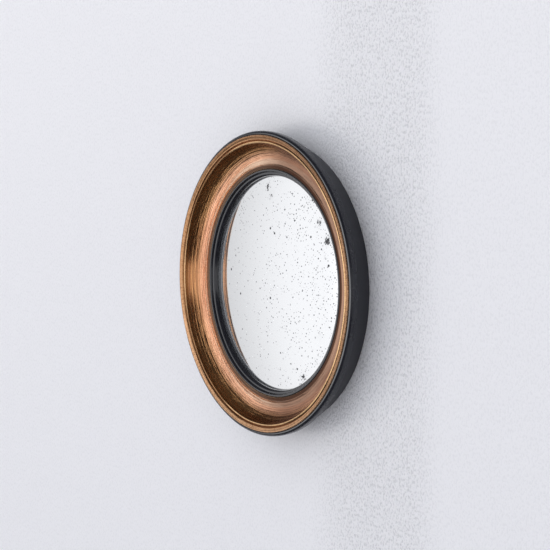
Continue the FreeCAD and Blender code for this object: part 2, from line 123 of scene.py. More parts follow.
class Value:
    """A socket that can be used in Python expressions; a comparison gives one or nought."""

    def __init__(self, graph: "Graph", socket: bpy.types.NodeSocket) -> None:
        """Wraps an output socket of a graph."""
        self.graph = graph
        self.socket = socket

    __add__ = __radd__ = binary("ADD")
    __sub__, __rsub__ = binary("SUBTRACT"), binary("SUBTRACT", swapped=True)
    __mul__ = __rmul__ = binary("MULTIPLY")
    __truediv__ = binary("DIVIDE")
    __gt__, __lt__ = binary("GREATER_THAN"), binary("LESS_THAN")
    at_most, at_least = binary("MINIMUM"), binary("MAXIMUM")
    __abs__, sqrt, floor, fraction = map(unary, ("ABSOLUTE", "SQRT", "FLOOR", "FRACT"))

    def clamped(self) -> "Value":
        """This value held between nought and one."""
        return self.at_least(0.0).at_most(1.0)

    def step(self, low: float, high: float) -> "Value":
        """Smooth step from nought at low to one at high.

        Args:
            low: Where the step starts.
            high: Where the step ends; below low for a falling step.

        Returns:
            The step's value.
        """
        if low > high:
            return 1.0 - self.step(high, low)
        settings = {"interpolation_type": "SMOOTHSTEP"}
        sockets = {"Value": self, "From Min": low, "From Max": high}
        return self.graph.node("ShaderNodeMapRange", settings, sockets)

    def beside(self, output: Any) -> "Value":
        """Another output of the same node, by name or index."""
        return Value(self.graph, self.socket.node.outputs[output])

    def band(self, centre: float, half_width: float, soft: float) -> "Value":
        """One within half_width of centre, falling to nought over soft."""
        return abs(self - centre).step(half_width + soft, half_width)


class Graph:
    """Builds a node tree with Python expressions."""

    def __init__(self, tree: NodeTree) -> None:
        """Starts on an empty shader or geometry node tree."""
        self.tree = tree

    def node(
        self,
        kind: str,
        settings: dict[str, Any] | None = None,
        sockets: dict[Any, Any] | None = None,
        output: Any = 0,
    ) -> Value:
        """Adds a node, sets it up and links it.

        Args:
            kind: The node's type name.
            settings: Node properties, set first.
            sockets: Values or links by input name or index.
            output: Name or index of the output wanted.

        Returns:
            The output as a Value.
        """
        made = self.tree.nodes.new(kind)
        for name, setting in (settings or {}).items():
            setattr(made, name, setting)
        for name, term in (sockets or {}).items():
            self._feed(made.inputs[name], term)
        return Value(self, made.outputs[output]) if len(made.outputs) else Value(self, None)

    def _feed(self, socket: bpy.types.NodeSocket, term: Any) -> None:
        """Links or sets one input.

        Args:
            socket: The input.
            term: A Value, a number, a colour, a vector or a data-block.
        """
        if isinstance(term, Value):
            self.tree.links.new(term.socket, socket)
        elif socket.type == "RGBA" and len(term) == 3:
            socket.default_value = (*term, 1.0)
        else:
            socket.default_value = term

    def math(self, operation: str, *terms: Term) -> Value:
        """The result of one Math node."""
        return self.node("ShaderNodeMath", {"operation": operation}, dict(enumerate(terms)))

    def vector(self, x: Term, y: Term, z: Term) -> Value:
        """A vector from three numbers."""
        return self.node("ShaderNodeCombineXYZ", None, {0: x, 1: y, 2: z})

    def split(self, vector: Value) -> tuple[Value, Value, Value]:
        """The three numbers of a vector."""
        x = self.node("ShaderNodeSeparateXYZ", None, {0: vector})
        return x, x.beside(1), x.beside(2)

    def mix(self, amount: Term, first: Any, second: Any) -> Value:
        """Mixes two colours or links, with amount of the second."""
        return self.node("ShaderNodeMix", {"data_type": "RGBA"}, {0: amount, 6: first, 7: second}, 2)


class ShaderGraph(Graph):
    """A graph for materials, with the patterns that the finishes share."""

    def __init__(self, name: str) -> None:
        """Makes an empty material.

        Args:
            name: The material's name.
        """
        self.material = bpy.data.materials.new(name)
        self.material.use_nodes = True
        super().__init__(self.material.node_tree)
        self.tree.nodes.clear()
        place = self.node("ShaderNodeTexCoord", None, None, "Object")
        self.place = self.scaled(place, 1.0 / MM)

    def scaled(self, vector: Value, factor: float) -> Value:
        """A vector times a number."""
        return self.node("ShaderNodeVectorMath", {"operation": "SCALE"}, {0: vector, "Scale": factor})

    def noise(self, vector: Value, scale: float, detail: float, roughness: float) -> Value:
        """Noise between about nought and one, with scale lumps per unit of the vector and detail octaves."""
        sockets = {"Vector": vector, "Scale": scale, "Detail": detail, "Roughness": roughness}
        return self.node("ShaderNodeTexNoise", None, sockets)

    def cells(self, vector: Value, scale: float) -> tuple[Value, Value, Value]:
        """Scattered cells on the plane of the vector's x and y.

        Args:
            vector: Where to look them up, in millimetres.
            scale: Cells per millimetre.

        Returns:
            The distance to the nearest cell's middle in cell widths, and two random numbers of that cell.
        """
        settings = {"voronoi_dimensions": "2D", "feature": "F1"}
        sockets = {"Vector": vector, "Scale": scale, "Randomness": 0.86}
        distance = self.node("ShaderNodeTexVoronoi", settings, sockets, "Distance")
        return (distance, *self.split(distance.beside("Color"))[:2])

    def polar(self) -> "Polar":
        """Where a point lies round the mirror's axis.

        Returns:
            Its place.
        """
        x, y, z = self.split(self.place)
        radius = (x * x + z * z).sqrt()
        return Polar(radius, 0.0 - y, x / radius, z / radius, self.math("ARCTAN2", z, x) / TAU)

    def bump(
        self, height: Value, depth_mm: float, strength: float = 1.0, normal: Value | None = None
    ) -> Value:
        """Relief from a height between nought and one.

        Args:
            height: The height.
            depth_mm: Its full depth.
            strength: The Bump node's strength.
            normal: Relief that this one adds to.

        Returns:
            The normal.
        """
        sockets: dict[str, Any] = {"Height": height, "Distance": depth_mm * MM, "Strength": strength}
        if normal is not None:
            sockets["Normal"] = normal
        return self.node("ShaderNodeBump", None, sockets)

    def finish(self, **sockets: Any) -> Material:
        """Ends the material in a Principled shader, whose inputs are named with underscores for spaces."""
        named = {name.replace("_", " "): term for name, term in sockets.items()}
        return self.surface(self.node("ShaderNodeBsdfPrincipled", None, named))

    def surface(self, shader: Value) -> Material:
        """Ends the material in a surface shader."""
        self.node("ShaderNodeOutputMaterial", None, {"Surface": shader})
        return self.material


@dataclass(frozen=True)
class Polar:
    """A point's place round the mirror's axis, in millimetres and turns."""

    radius: Value
    rise: Value
    cosine: Value
    sine: Value
    turn: Value

    def ring(self, round_scale: float, across_scale: float) -> Value:
        """A lookup that is seamless round the axis.

        Args:
            round_scale: Pattern lumps in one radian.
            across_scale: Pattern lumps per millimetre across the section.

        Returns:
            The vector to look a pattern up with, at a scale of one.
        """
        graph = self.radius.graph
        across = (self.radius + self.rise) * (across_scale * math.sqrt(0.5))
        return graph.vector(self.cosine * round_scale, self.sine * round_scale, across)


# ---- finishes ------------------------------------------------------------------------
@dataclass(frozen=True)
class MetalLeaf:
    """Copper-coloured leaf in the scoop and gold-coloured leaf on the flat and bead, over dark bole, with
    painted shade away from the lit side, in the groove and step and beside the slip.
    """

    copper: Colour = (0.99, 0.535, 0.335)
    copper_deep: Colour = (0.37, 0.145, 0.072)
    rose: Colour = (0.94, 0.67, 0.49)
    bronze: Colour = (0.90, 0.46, 0.19)
    # Painted shade: the colour the leaf darkens to away from the lit side.
    shade_umber: Colour = (0.20, 0.085, 0.050)
    gold: Colour = (0.76, 0.44, 0.24)
    gold_bright: Colour = (0.98, 0.62, 0.32)
    gold_deep: Colour = (0.24, 0.10, 0.030)
    bole: Colour = (0.085, 0.032, 0.016)
    # Colour of the painted shade in the groove and step and of the dirt in the tick marks.
    wax_and_recess_shade: Colour = (0.27, 0.088, 0.012)
    # Colour of the painted shade on the land beside the slip.
    land_shade: Colour = (0.070, 0.026, 0.012)
    gold_from: float = 137.0
    gold_full: float = 138.2
    groove_radius: float = 141.0
    bead_radius: float = 139.1
    crest_radius: float = 145.7
    step_radius: float = 137.4
    land_from: float = 117.4
    land_full: float = 115.6
    leaves_round: int = 11
    # The side of the ring where the leaf is left brightest; the painted shade grows away from it.
    lit_side: float = math.radians(178.0)
    side_shade_strength: float = 0.76

    def build(self) -> Material:
        """Makes the leaf.

        Returns:
            The material.
        """
        g = ShaderGraph("metal_leaf")
        p = g.polar()
        streak = g.noise(p.ring(0.55, 0.60), 1.0, 3.0, 0.62)
        fine_streak = g.noise(p.ring(1.2, 0.90), 1.0, 3.0, 0.70)
        rings = g.noise(p.ring(0.12, 0.22), 1.0, 2.0, 0.6)
        lines = g.noise(p.ring(0.25, 0.75), 1.0, 1.0, 0.5)
        mottle = g.noise(g.place, 0.35, 5.0, 0.65)
        cloud = g.noise(g.place, 0.035, 2.0, 0.5)
        ticks = g.noise(p.ring(150.0, 0.22), 1.0, 2.0, 0.6)
        leaf = (p.turn * float(self.leaves_round) + cloud * 0.06).floor()
        tint = g.node("ShaderNodeTexWhiteNoise", {"noise_dimensions": "1D"}, {"W": leaf})
        ragged = p.turn * float(self.leaves_round) + cloud * 0.06 + mottle * 0.012
        lap = ragged.fraction().band(0.5, 0.0, 0.006)

        outer = p.radius.step(self.gold_from, self.gold_full)
        scratch = fine_streak.step(0.53, 0.66)
        warm = g.mix(p.radius.step(126.0, 134.0), self.copper, self.bronze)
        warm = g.mix(p.radius.step(124.5, 121.0), warm, self.rose)
        away = p.cosine * math.cos(self.lit_side) + p.sine * math.sin(self.lit_side)
        # Painted shade on the top, right and bottom of the ring, away from the lit side, eased on the far
        # side's outer scoop.
        painted_side_shade = (away + cloud * 0.3 - 0.15).step(0.32, -0.24) * self.side_shade_strength
        far_side = away.step(-0.2, -0.75)
        painted_side_shade = painted_side_shade * (1.0 - p.radius.step(123.0, 131.0) * far_side * 0.85)
        hand = g.noise(p.ring(9.0, 0.75), 1.0, 2.0, 0.6)
        copper = g.mix((streak * 3.0 + scratch * 0.70 - 1.72).clamped(), warm, self.copper_deep)
        # Streaky scuffs darken the scoop's middle on the lit side; they are also painted shade that dims the
        # reflection there.
        lit_band = away.step(0.86, 0.97) * p.radius.band(131.5, 5.5, 3.0)
        scuffs_and_shade = lit_band * (fine_streak * 2.8 - 0.85).clamped() * 0.85
        copper = g.mix(scuffs_and_shade, copper, self.copper_deep)
        tick_mark = ticks.step(0.50, 0.66) * outer
        on_bead = p.radius.band(self.bead_radius, 0.7, 0.7)
        gold = g.mix(on_bead, self.gold, self.gold_bright)
        # Painted shade on the bead, part way round from the lit side, above and below it.
        bead_shade = on_bead * away.band(0.68, 0.22, 0.12) * 0.78
        turning = (tick_mark * 0.50 + lines * 3.2 - 1.40) * (1.0 - on_bead * 0.6)
        gold = g.mix(turning.clamped(), gold, self.gold_deep)
        gold = g.mix(bead_shade, gold, self.gold_deep)
        # Painted shade on the flat, right at the lit side.
        gold = g.mix(away.step(0.90, 0.99) * (1.0 - on_bead) * 0.22, gold, self.gold_deep)
        colour = g.mix(outer, copper, gold)
        colour = g.mix(tint * 0.16, colour, g.mix(tint, self.copper, self.gold))
        # Paints that shade, mostly on the copper.
        colour = g.mix(painted_side_shade * (1.0 - outer * 0.80), colour, self.shade_umber)
        bead_top = p.radius.band(self.bead_radius, 0.1, 0.6) * 0.25
        edges = p.radius.band(self.crest_radius, 0.15, 0.5).at_least(bead_top)
        worn = (edges * (mottle * 2.6 - 0.85) + lap * 0.35 * mottle).clamped()
        step = p.radius.band(self.step_radius, 0.15, 0.5)
        recess = p.radius.band(self.groove_radius, 0.30, 0.45).at_least(step)
        near_slip = p.radius.step(self.land_from, self.land_full)
        # Painted shade in the groove and step, less on the far side, plus dirt in the tick marks.
        recess_shade_and_grime = (recess * (0.80 - far_side * 0.62) + tick_mark * 0.15).clamped()
        # Painted shade on the land beside the slip, deeper where the side shade is.
        slip_shade = (near_slip * (0.78 + streak * 0.3)).clamped()
        colour = g.mix(worn, colour, self.bole)
        # Paints the groove and step shade and the tick-mark dirt.
        colour = g.mix(recess_shade_and_grime * 0.88, colour, self.wax_and_recess_shade)
        # Paints the shade on the land beside the slip.
        colour = g.mix((slip_shade * (0.94 + painted_side_shade * 0.12)).clamped(), colour, self.land_shade)
        rough = 0.08 + streak * 0.10 + mottle * 0.05 + recess_shade_and_grime * 0.12 + slip_shade * 0.14 + worn * 0.25
        relief = g.bump(rings, 1.30, 1.0)
        relief = g.bump(streak, 0.40, 1.0, relief)
        relief = g.bump(fine_streak, 0.55, 1.0, relief)
        relief = g.bump(hand, 0.14, 1.0, relief)
        relief = g.bump(mottle, 0.05, 0.6, relief)
        relief = g.bump(ticks * outer, 0.05, 0.6, relief)
        return g.finish(
            Base_Color=colour,
            Metallic=(1.0 - worn * 0.8 - recess_shade_and_grime * 0.10).clamped(),
            Roughness=rough.clamped(),
            Normal=relief,
        )


class Lacquer(Enum):
    """Where the black lacquer is, which sets how it has been rubbed down."""

    ROLL = "gloss_roll"
    SIDE = "satin_side"
    SLIP = "polished_slip"


@dataclass(frozen=True)
class BlackLacquer:
    """Ebonising lacquer over turned timber: faint lathe rings, dust and rubbed arrises."""

    place: Lacquer
    black: Colour = (0.0120, 0.0124, 0.0175)
    undercoat: Colour = (0.060, 0.034, 0.022)
    crest_radius: float = 147.6

    def build(self) -> Material:
        """Makes the lacquer.

        Returns:
            The material.
        """
        rough, ring_depth, coat = {
            Lacquer.ROLL: (0.27, 0.010, 0.06),
            Lacquer.SIDE: (0.44, 0.030, 0.0),
            Lacquer.SLIP: (0.24, 0.012, 0.95),
        }[self.place]
        g = ShaderGraph("black_lacquer_" + self.place.value)
        p = g.polar()
        rings = g.noise(p.ring(1.5, 1.6), 1.0, 3.0, 0.6)
        smudge = g.noise(g.place, 0.045, 4.0, 0.6)
        dust = g.noise(g.place, 1.9, 2.0, 0.5)
        nick = g.noise(g.place, 0.55, 4.0, 0.7).step(0.70, 0.76)
        crest = p.radius.band(self.crest_radius, 0.6, 0.4) * p.cosine.step(-0.25, 0.35)
        colour = g.mix((smudge * 1.6 - 0.5).clamped() * 0.5, self.black, (0.027, 0.028, 0.034))
        colour = g.mix(nick * 0.35, colour, self.undercoat)
        relief = g.bump(rings, ring_depth, 0.5)
        relief = g.bump(dust.step(0.62, 0.80), 0.02, 0.35, relief)
        return g.finish(
            Base_Color=colour,
            Roughness=(rough - 0.08 + smudge * 0.16 + nick * 0.2).clamped(),
            Normal=relief,
            Coat_Weight=(crest * 0.9 + coat).clamped() if self.place is Lacquer.ROLL else coat,
            Coat_Roughness=0.12,
            Coat_IOR=2.1 if self.place is Lacquer.ROLL else 1.5,
            Specular_IOR_Level=0.36,
        )


@dataclass(frozen=True)
class Fleck:
    """A place where the silvering has broken down, in millimetres on the face of the glass."""

    x: float
    z: float
    size: float
    strength: float


@dataclass(frozen=True)
class FoxedSilver:
    """Silvered glass with age spots, denser towards one side of the rim."""

    silver: Colour = (0.915, 0.925, 0.935)
    spot: Colour = (0.030, 0.030, 0.034)
    bloom: Colour = (0.42, 0.43, 0.45)
    fine_cells: float = 0.36
    coarse_cells: float = 0.105
    flecks: tuple[Fleck, ...] = (
        Fleck(-13.0, 94.5, 6.0, 0.95),
        Fleck(-5.0, 86.5, 8.0, 0.60),
        Fleck(74.0, 63.0, 9.0, 0.80),
        Fleck(86.5, 45.5, 9.0, 1.00),
        Fleck(76.0, -46.0, 9.0, 0.45),
        Fleck(68.0, -72.5, 6.0, 0.60),
        Fleck(47.0, -88.5, 8.0, 0.90),
        Fleck(-47.0, 56.5, 5.0, 0.35),
        Fleck(91.0, 8.0, 10.0, 0.35),
        Fleck(57.0, 84.0, 14.0, 0.30),
    )

    def build(self) -> Material:
        """Makes the silvered glass.

        Returns:
            The material.
        """
        g = ShaderGraph("foxed_silver")
        x, _, z = g.split(g.place)
        flat = g.vector(x * 0.857 - z * 0.515 + 11.0, x * 0.515 + z * 0.857, 0.0)
        wobble = g.noise(g.place, 0.9, 3.0, 0.6)
        drift = g.noise(g.place, 0.018, 3.0, 0.55)
        crowd: Term = (x + z * 0.25).step(-70.0, 95.0) * 0.30 + drift.step(0.42, 0.70) * 0.16 + 0.09
        blotch: Term = 0.0
        for fleck in self.flecks:
            away = ((x - fleck.x) * (x - fleck.x) + (z - fleck.z) * (z - fleck.z)).sqrt()
            near = (away + wobble * fleck.size * 0.5).step(fleck.size * 1.3, fleck.size * 0.1)
            blotch = near * fleck.strength + blotch
        fine, fine_a, fine_b = g.cells(flat, self.fine_cells)
        coarse, coarse_a, coarse_b = g.cells(flat, self.coarse_cells)
        crowd = crowd + blotch * 0.9
        fine_size = 0.090 + fine_b * fine_b * 0.16
        fine_spot = (fine + wobble * 0.10 - 0.05 - fine_size).step(0.05, -0.02) * (fine_a < crowd * 0.80)
        coarse_size = 0.040 + coarse_b * coarse_b * coarse_b * 0.085
        coarse_spot = (coarse + wobble * 0.05 - 0.025 - coarse_size).step(0.014, -0.006) * (coarse_a < crowd)
        ragged = g.noise(g.place, 0.36, 4.0, 0.66)
        patch = (blotch * 0.56 + ragged - 0.835).step(0.0, 0.03)
        spots = (fine_spot * 0.85).at_least(coarse_spot).at_least(patch).clamped()
        ringed = (coarse - coarse_size).step(0.09, 0.0) * (coarse_a < crowd) * 0.22
        halo = (ringed + blotch * ragged * 0.30).clamped()
        colour = g.mix(halo, self.silver, self.bloom)
        colour = g.mix(spots, colour, self.spot)
        rough = 0.035 + drift * 0.025 + halo * 0.18 + spots * 0.35
        return g.finish(
            Base_Color=colour,
            Metallic=(0.90 - spots * 0.65).clamped(),
            Roughness=rough.clamped(),
            Coat_Weight=0.6,
            Coat_Roughness=0.02,
        )


@dataclass(frozen=True)
class TurnedTimber:
    """Bare ring glued up from segments, with tangential grain, lathe rings and a smear of black."""

    light: Colour = (0.56, 0.38, 0.22)
    dark: Colour = (0.36, 0.21, 0.11)
    glue: Colour = (0.16, 0.09, 0.05)
    segments: int = 8
    overspray_radius: float = 134.0

    def build(self) -> Material:
        """Makes the timber.

        Returns:
            The material.
        """
        g = ShaderGraph("turned_timber")
        p = g.polar()
        piece = p.turn * float(self.segments)
        number = piece.floor()
        bearing = (piece - number - 0.5) * (TAU / self.segments)
        across = p.radius * g.math("COSINE", bearing)
        along = p.radius * g.math("SINE", bearing)
        sawn = g.vector(across * 0.55 + number * 37.0, p.rise * 0.55, along * 0.022)
        grain = g.noise(sawn, 1.0, 5.0, 0.62)
        pores = g.noise(g.vector(across * 3.4, p.rise * 3.4, along * 0.12), 1.0, 2.0, 0.5).step(0.60, 0.74)
        lathe = g.noise(p.ring(0.6, 2.4), 1.0, 2.0, 0.5)
        joint = abs(piece.fraction() - 0.5).step(0.4978, 0.4994)
        spray = (p.radius + g.noise(g.place, 0.09, 4.0, 0.7) * 9.0).step(self.overspray_radius + 1.0, 142.0)
        colour = g.mix((grain * 1.7 - 0.35).clamped(), self.light, self.dark)
        colour = g.mix(pores * 0.45, colour, self.glue)
        colour = g.mix(joint * 0.8, colour, self.glue)
        colour = g.mix(spray * 0.93, colour, (0.022, 0.022, 0.026))
        relief = g.bump(lathe, 0.05, 0.4)
        relief = g.bump(grain - pores * 0.5, 0.05, 0.5, relief)
        rough = (0.62 + grain * 0.15 - spray * 0.12).clamped()
        return g.finish(Base_Color=colour, Roughness=rough, Normal=relief)


@dataclass(frozen=True)
class Hardboard:
    """Pressed wood-fibre board, smooth side out."""

    light: Colour = (0.250, 0.135, 0.070)
    dark: Colour = (0.120, 0.062, 0.032)

    def build(self) -> Material:
        """Makes the board.

        Returns:
            The material.
        """
        g = ShaderGraph("hardboard")
        x, y, z = g.split(g.place)
        fibre_a = g.noise(g.vector(x * 0.25, y, z * 1.5), 1.0, 4.0, 0.65)
        fibre_b = g.noise(g.vector(x * 1.4, y, z * 0.22), 1.0, 4.0, 0.65)
        cloud = g.noise(g.place, 0.03, 3.0, 0.5)
        fleck = g.noise(g.place, 1.1, 3.0, 0.6).step(0.60, 0.74)
        colour = g.mix((fibre_a + fibre_b + cloud * 0.8 - 0.9).clamped(), self.light, self.dark)
        colour = g.mix(fleck * 0.45, colour, (0.36, 0.22, 0.12))
        relief = g.bump(fibre_a + fibre_b, 0.03, 0.5)
        rough = (0.42 + cloud * 0.2 + fleck * 0.1).clamped()
        return g.finish(Base_Color=colour, Roughness=rough, Normal=relief)


@dataclass(frozen=True)
class WorkedMetal:
    """Turned, pressed or plated metal with fine tool marks and handling."""

    name: str
    bright: Colour
    dull: Colour
    roughness: float
    grain_scale: float = 2.2

    def build(self) -> Material:
        """Makes the metal.

        Returns:
            The material.
        """
        g = ShaderGraph(self.name)
        x, y, z = g.split(g.place)
        brushed = g.noise(g.vector(x * self.grain_scale, y * self.grain_scale, z * 0.25), 1.0, 3.0, 0.6)
        tarnish = g.noise(g.place, 0.22, 4.0, 0.6)
        pits = g.noise(g.place, 2.6, 2.0, 0.5).step(0.66, 0.80)
        colour = g.mix((tarnish * 1.9 - 0.55 + pits * 0.3).clamped(), self.bright, self.dull)
        relief = g.bump(brushed, 0.012, 0.5)
        relief = g.bump(1.0 - pits, 0.02, 0.4, relief)
        rough = self.roughness + tarnish * 0.18 + brushed * 0.06 + pits * 0.15
        return g.finish(Base_Color=colour, Metallic=1.0, Roughness=rough.clamped(), Normal=relief)


@dataclass(frozen=True)
class WoolFelt:
    """Pressed felt: short crossed fibres and small tufts."""

    light: Colour = (0.050, 0.060, 0.052)
    dark: Colour = (0.012, 0.016, 0.014)

    def build(self) -> Material:
        """Makes the felt.

        Returns:
            The material.
        """
        g = ShaderGraph("wool_felt")
        x, y, z = g.split(g.place)
        strand_a = g.noise(g.vector(x * 6.0, y * 3.0, z * 0.9), 1.0, 3.0, 0.6)
        strand_b = g.noise(g.vector(x * 0.9, y * 3.0, z * 6.0), 1.0, 3.0, 0.6)
        tuft = g.noise(g.place, 1.4, 3.0, 0.6)
        height = strand_a.at_least(strand_b) * 0.6 + tuft * 0.4
        colour = g.mix((height * 2.4 - 0.8).clamped(), self.dark, self.light)
        relief = g.bump(height, 0.18, 0.8)
        return g.finish(
            Base_Color=colour,
            Roughness=(0.80 + tuft * 0.18).clamped(),
            Normal=relief,
            Sheen_Weight=0.35,
            Sheen_Roughness=0.5,
        )


@dataclass(frozen=True)
class ClosedCellFoam:
    """Charcoal foam with small closed cells and a cut edge."""

    light: Colour = (0.090, 0.090, 0.094)
    dark: Colour = (0.026, 0.026, 0.028)

    def build(self) -> Material:
        """Makes the foam.

        Returns:
            The material.
        """
        g = ShaderGraph("closed_cell_foam")
        sockets = {"Vector": g.place, "Scale": 2.4}
        cell = g.node("ShaderNodeTexVoronoi", {"feature": "F1"}, sockets, "Distance")
        cloud = g.noise(g.place, 0.3, 3.0, 0.6)
        colour = g.mix((cell * 1.5 + cloud * 0.5 - 0.3).clamped(), self.dark, self.light)
        relief = g.bump(cell, 0.15, 0.8)
        return g.finish(Base_Color=colour, Roughness=(0.72 + cloud * 0.2).clamped(), Normal=relief)


@dataclass(frozen=True)
class RolledPaint:
    """Wall paint with the fine orange-peel that a roller leaves, and painted shade in its pits; see-through
    from behind.
    """

    name: str
    colour: Colour
    peel_mm: float
    pit_shade: float

    def build(self) -> Material:
        """Makes the paint.

        Returns:
            The material.
        """
        g = ShaderGraph(self.name)
        x, y, z = g.split(g.place)
        # The band beside and behind the frame's right side, where its shadow falls.
        shadow_side = x.step(30.0, 110.0) * x.step(250.0, 195.0) * 0.72 + 0.28
        peel = g.noise(g.vector(x * 0.46, y, z * 0.34), 1.0, 2.0, 0.55)
        broad = g.noise(g.place, 0.06, 2.0, 0.5)
        relief = g.bump((peel + broad * 0.4) * shadow_side, self.peel_mm, 1.0)
        # Painted shade in the peel's pits, strongest in that band.
        pits = peel.step(0.51, 0.37) * shadow_side * self.pit_shade
        colour = g.mix(pits, self.colour, tuple(part * 0.6 for part in self.colour))
        sockets = {"Base Color": colour, "Roughness": 0.75, "Normal": relief, "Specular IOR Level": 0.2}
        painted = g.node("ShaderNodeBsdfPrincipled", None, sockets)
        behind = g.node("ShaderNodeNewGeometry", None, None, "Backfacing")
        clear = g.node("ShaderNodeBsdfTransparent")
        return g.surface(g.node("ShaderNodeMixShader", None, {0: behind, 1: painted, 2: clear}))


# ---- drawing sections -----------------------------------------------------------------
def bowed(start: Point, end: Point, bow: float, steps: int) -> list[Point]:
    """Points of an arc that swells by bow to the right of its chord.

    Args:
        start: First point.
        end: Last point.
        bow: Swell off the chord; negative to the left.
        steps: Number of straight pieces.

    Returns:
        The arc's points, with both ends.
    """
    run, climb = end[0] - start[0], end[1] - start[1]
    chord = math.hypot(run, climb)
    radius = (chord * chord / 4 + bow * bow) / (2 * abs(bow))
    side = math.copysign(1.0, bow)
    half = math.asin(min(1.0, chord / 2 / radius))
    if abs(bow) > chord / 2:
        half = math.pi - half
    points = []
    for index in range(steps + 1):
        angle = -half + 2 * half * index / steps
        forward = chord / 2 + radius * math.sin(angle)
        out = side * (radius * math.cos(angle) - radius * math.cos(half))
        across, up = run * forward + climb * out, climb * forward - run * out
        points.append((start[0] + across / chord, start[1] + up / chord))
    return points


def beaded(centre: Point, radius: float, start: float, steps: int) -> list[Point]:
    """Points of an arc round a centre, from an angle on to half a turn.

    Args:
        centre: The arc's centre.
        radius: Its radius.
        start: Its first angle, in radians.
        steps: Number of straight pieces.

    Returns:
        The arc's points, with both ends.
    """
    angles = (start + (math.pi - start) * index / steps for index in range(steps + 1))
    return [(centre[0] + radius * math.cos(angle), centre[1] + radius * math.sin(angle)) for angle in angles]


def eased(points: Sequence[Point], radius: float, steps: int = 3) -> list[Point]:
    """Rounds the sharp corners of a closed section.

    Args:
        points: The section's corners, in order.
        radius: Size of the rounding.
        steps: Straight pieces in each rounded corner.

    Returns:
        The eased section.
    """
    result: list[Point] = []
    for index, here in enumerate(points):
        before = Vector(points[index - 1]) - Vector(here)
        after = Vector(points[(index + 1) % len(points)]) - Vector(here)
        turn = math.pi - before.angle(after, math.pi)
        if turn < EASED_ANGLE or here[0] < radius:
            result.append(here)
            continue
        reach = min(radius, before.length * 0.4, after.length * 0.4)
        start = Vector(here) + before.normalized() * reach
        end = Vector(here) + after.normalized() * reach
        for step in range(steps + 1):
            t = step / steps
            spot = start * (1 - t) ** 2 + Vector(here) * 2 * t * (1 - t) + end * t ** 2
            result.append((spot.x, spot.y))
    return result


def joined(*runs: Sequence[Point]) -> list[Point]:
    """Joins runs of points into one closed section, leaving out repeats.

    Args:
        runs: The runs, in order.

    Returns:
        The section.
    """
    section: list[Point] = []
    for point in (point for run in runs for point in run):
        if not section or math.dist(point, section[-1]) > SAME_POINT:
            section.append(point)
    if math.dist(section[0], section[-1]) < SAME_POINT:
        section.pop()
    return section


# ---- geometry node trees ------------------------------------------------------------------
@dataclass(frozen=True)
class Zone:
    """A part of a turned ring that has its own finish, between two radii and two rises."""

    material: Material
    inner: float
    outer: float
    above: float
    below: float = 1000.0


class GeometryGraph(Graph):
    """A geometry node tree with one geometry in and one out."""

    def __init__(self, name: str, inputs: dict[str, str]) -> None:
        """Makes an empty tree.

        Args:
            name: The tree's name.
            inputs: Socket type by input name, besides the geometry.
        """
        tree = bpy.data.node_groups.new(name, "GeometryNodeTree")
        super().__init__(tree)
        tree.interface.new_socket(name="Geometry", in_out="INPUT", socket_type="NodeSocketGeometry")
        tree.interface.new_socket(name="Geometry", in_out="OUTPUT", socket_type="NodeSocketGeometry")
        for label, kind in inputs.items():
            tree.interface.new_socket(name=label, in_out="INPUT", socket_type=kind)
        self.group = tree.nodes.new("NodeGroupInput")

    def given(self, name: str) -> Value:
        """One of the tree's inputs."""
        return Value(self, self.group.outputs[name])

    def end(self, geometry: Value) -> NodeTree:
        """Sends a geometry to the tree's output.

        Args:
            geometry: The result.

        Returns:
            The finished tree.
        """
        output = self.tree.nodes.new("NodeGroupOutput")
        self.tree.links.new(geometry.socket, output.inputs[0])
        return self.tree


def turned_tree(name: str, base: Material, zones: Sequence[Zone]) -> NodeTree:
    """A tree that turns a section round the mirror's axis, as a lathe does.

    Args:
        name: The tree's name.
        base: Finish where no zone says otherwise.
        zones: Zones with another finish.

    Returns:
        The tree, with inputs Segments and Points.
    """
    g = GeometryGraph(name, {"Segments": "NodeSocketInt", "Points": "NodeSocketInt"})
    section, segments, count = g.given("Geometry"), g.given("Segments"), g.given("Points")
    sockets = {"Size X": 1.0, "Size Y": 1.0, "Vertices X": segments + 1.0, "Vertices Y": count + 1.0}
    sheet = g.node("GeometryNodeMeshGrid", None, sockets)
    place = g.node("GeometryNodeInputPosition")
    across, up, _ = g.split(place)
    angle = (across + 0.5) * TAU
    row = g.math("ROUND", (up + 0.5) * count)
    row = g.math("FLOORED_MODULO", row, count)
    settings = {"data_type": "FLOAT_VECTOR", "domain": "POINT"}
    drawn = g.node("GeometryNodeSampleIndex", settings, {"Geometry": section, "Value": place, "Index": row})
    radius, depth, _ = g.split(drawn)
    spot = g.vector(radius * g.math("COSINE", angle), depth, radius * g.math("SINE", angle))
    ring = g.node("GeometryNodeSetPosition", None, {"Geometry": sheet, "Position": spot})
    ring = g.node("GeometryNodeMergeByDistance", None, {"Geometry": ring, "Distance": MERGE_DISTANCE})
    ring = g.node("GeometryNodeSetMaterial", None, {"Geometry": ring, "Material": base})
    x, y, z = g.split(g.node("GeometryNodeInputPosition"))
    radius, rise = (x * x + z * z).sqrt(), 0.0 - y
    for zone in zones:
        inside = (radius > zone.inner * MM) * (radius < zone.outer * MM)
        inside = inside * (rise > zone.above * MM) * (rise < zone.below * MM)
        sockets = {"Geometry": ring, "Selection": inside, "Material": zone.material}
        ring = g.node("GeometryNodeSetMaterial", None, sockets)
    return g.end(ring)


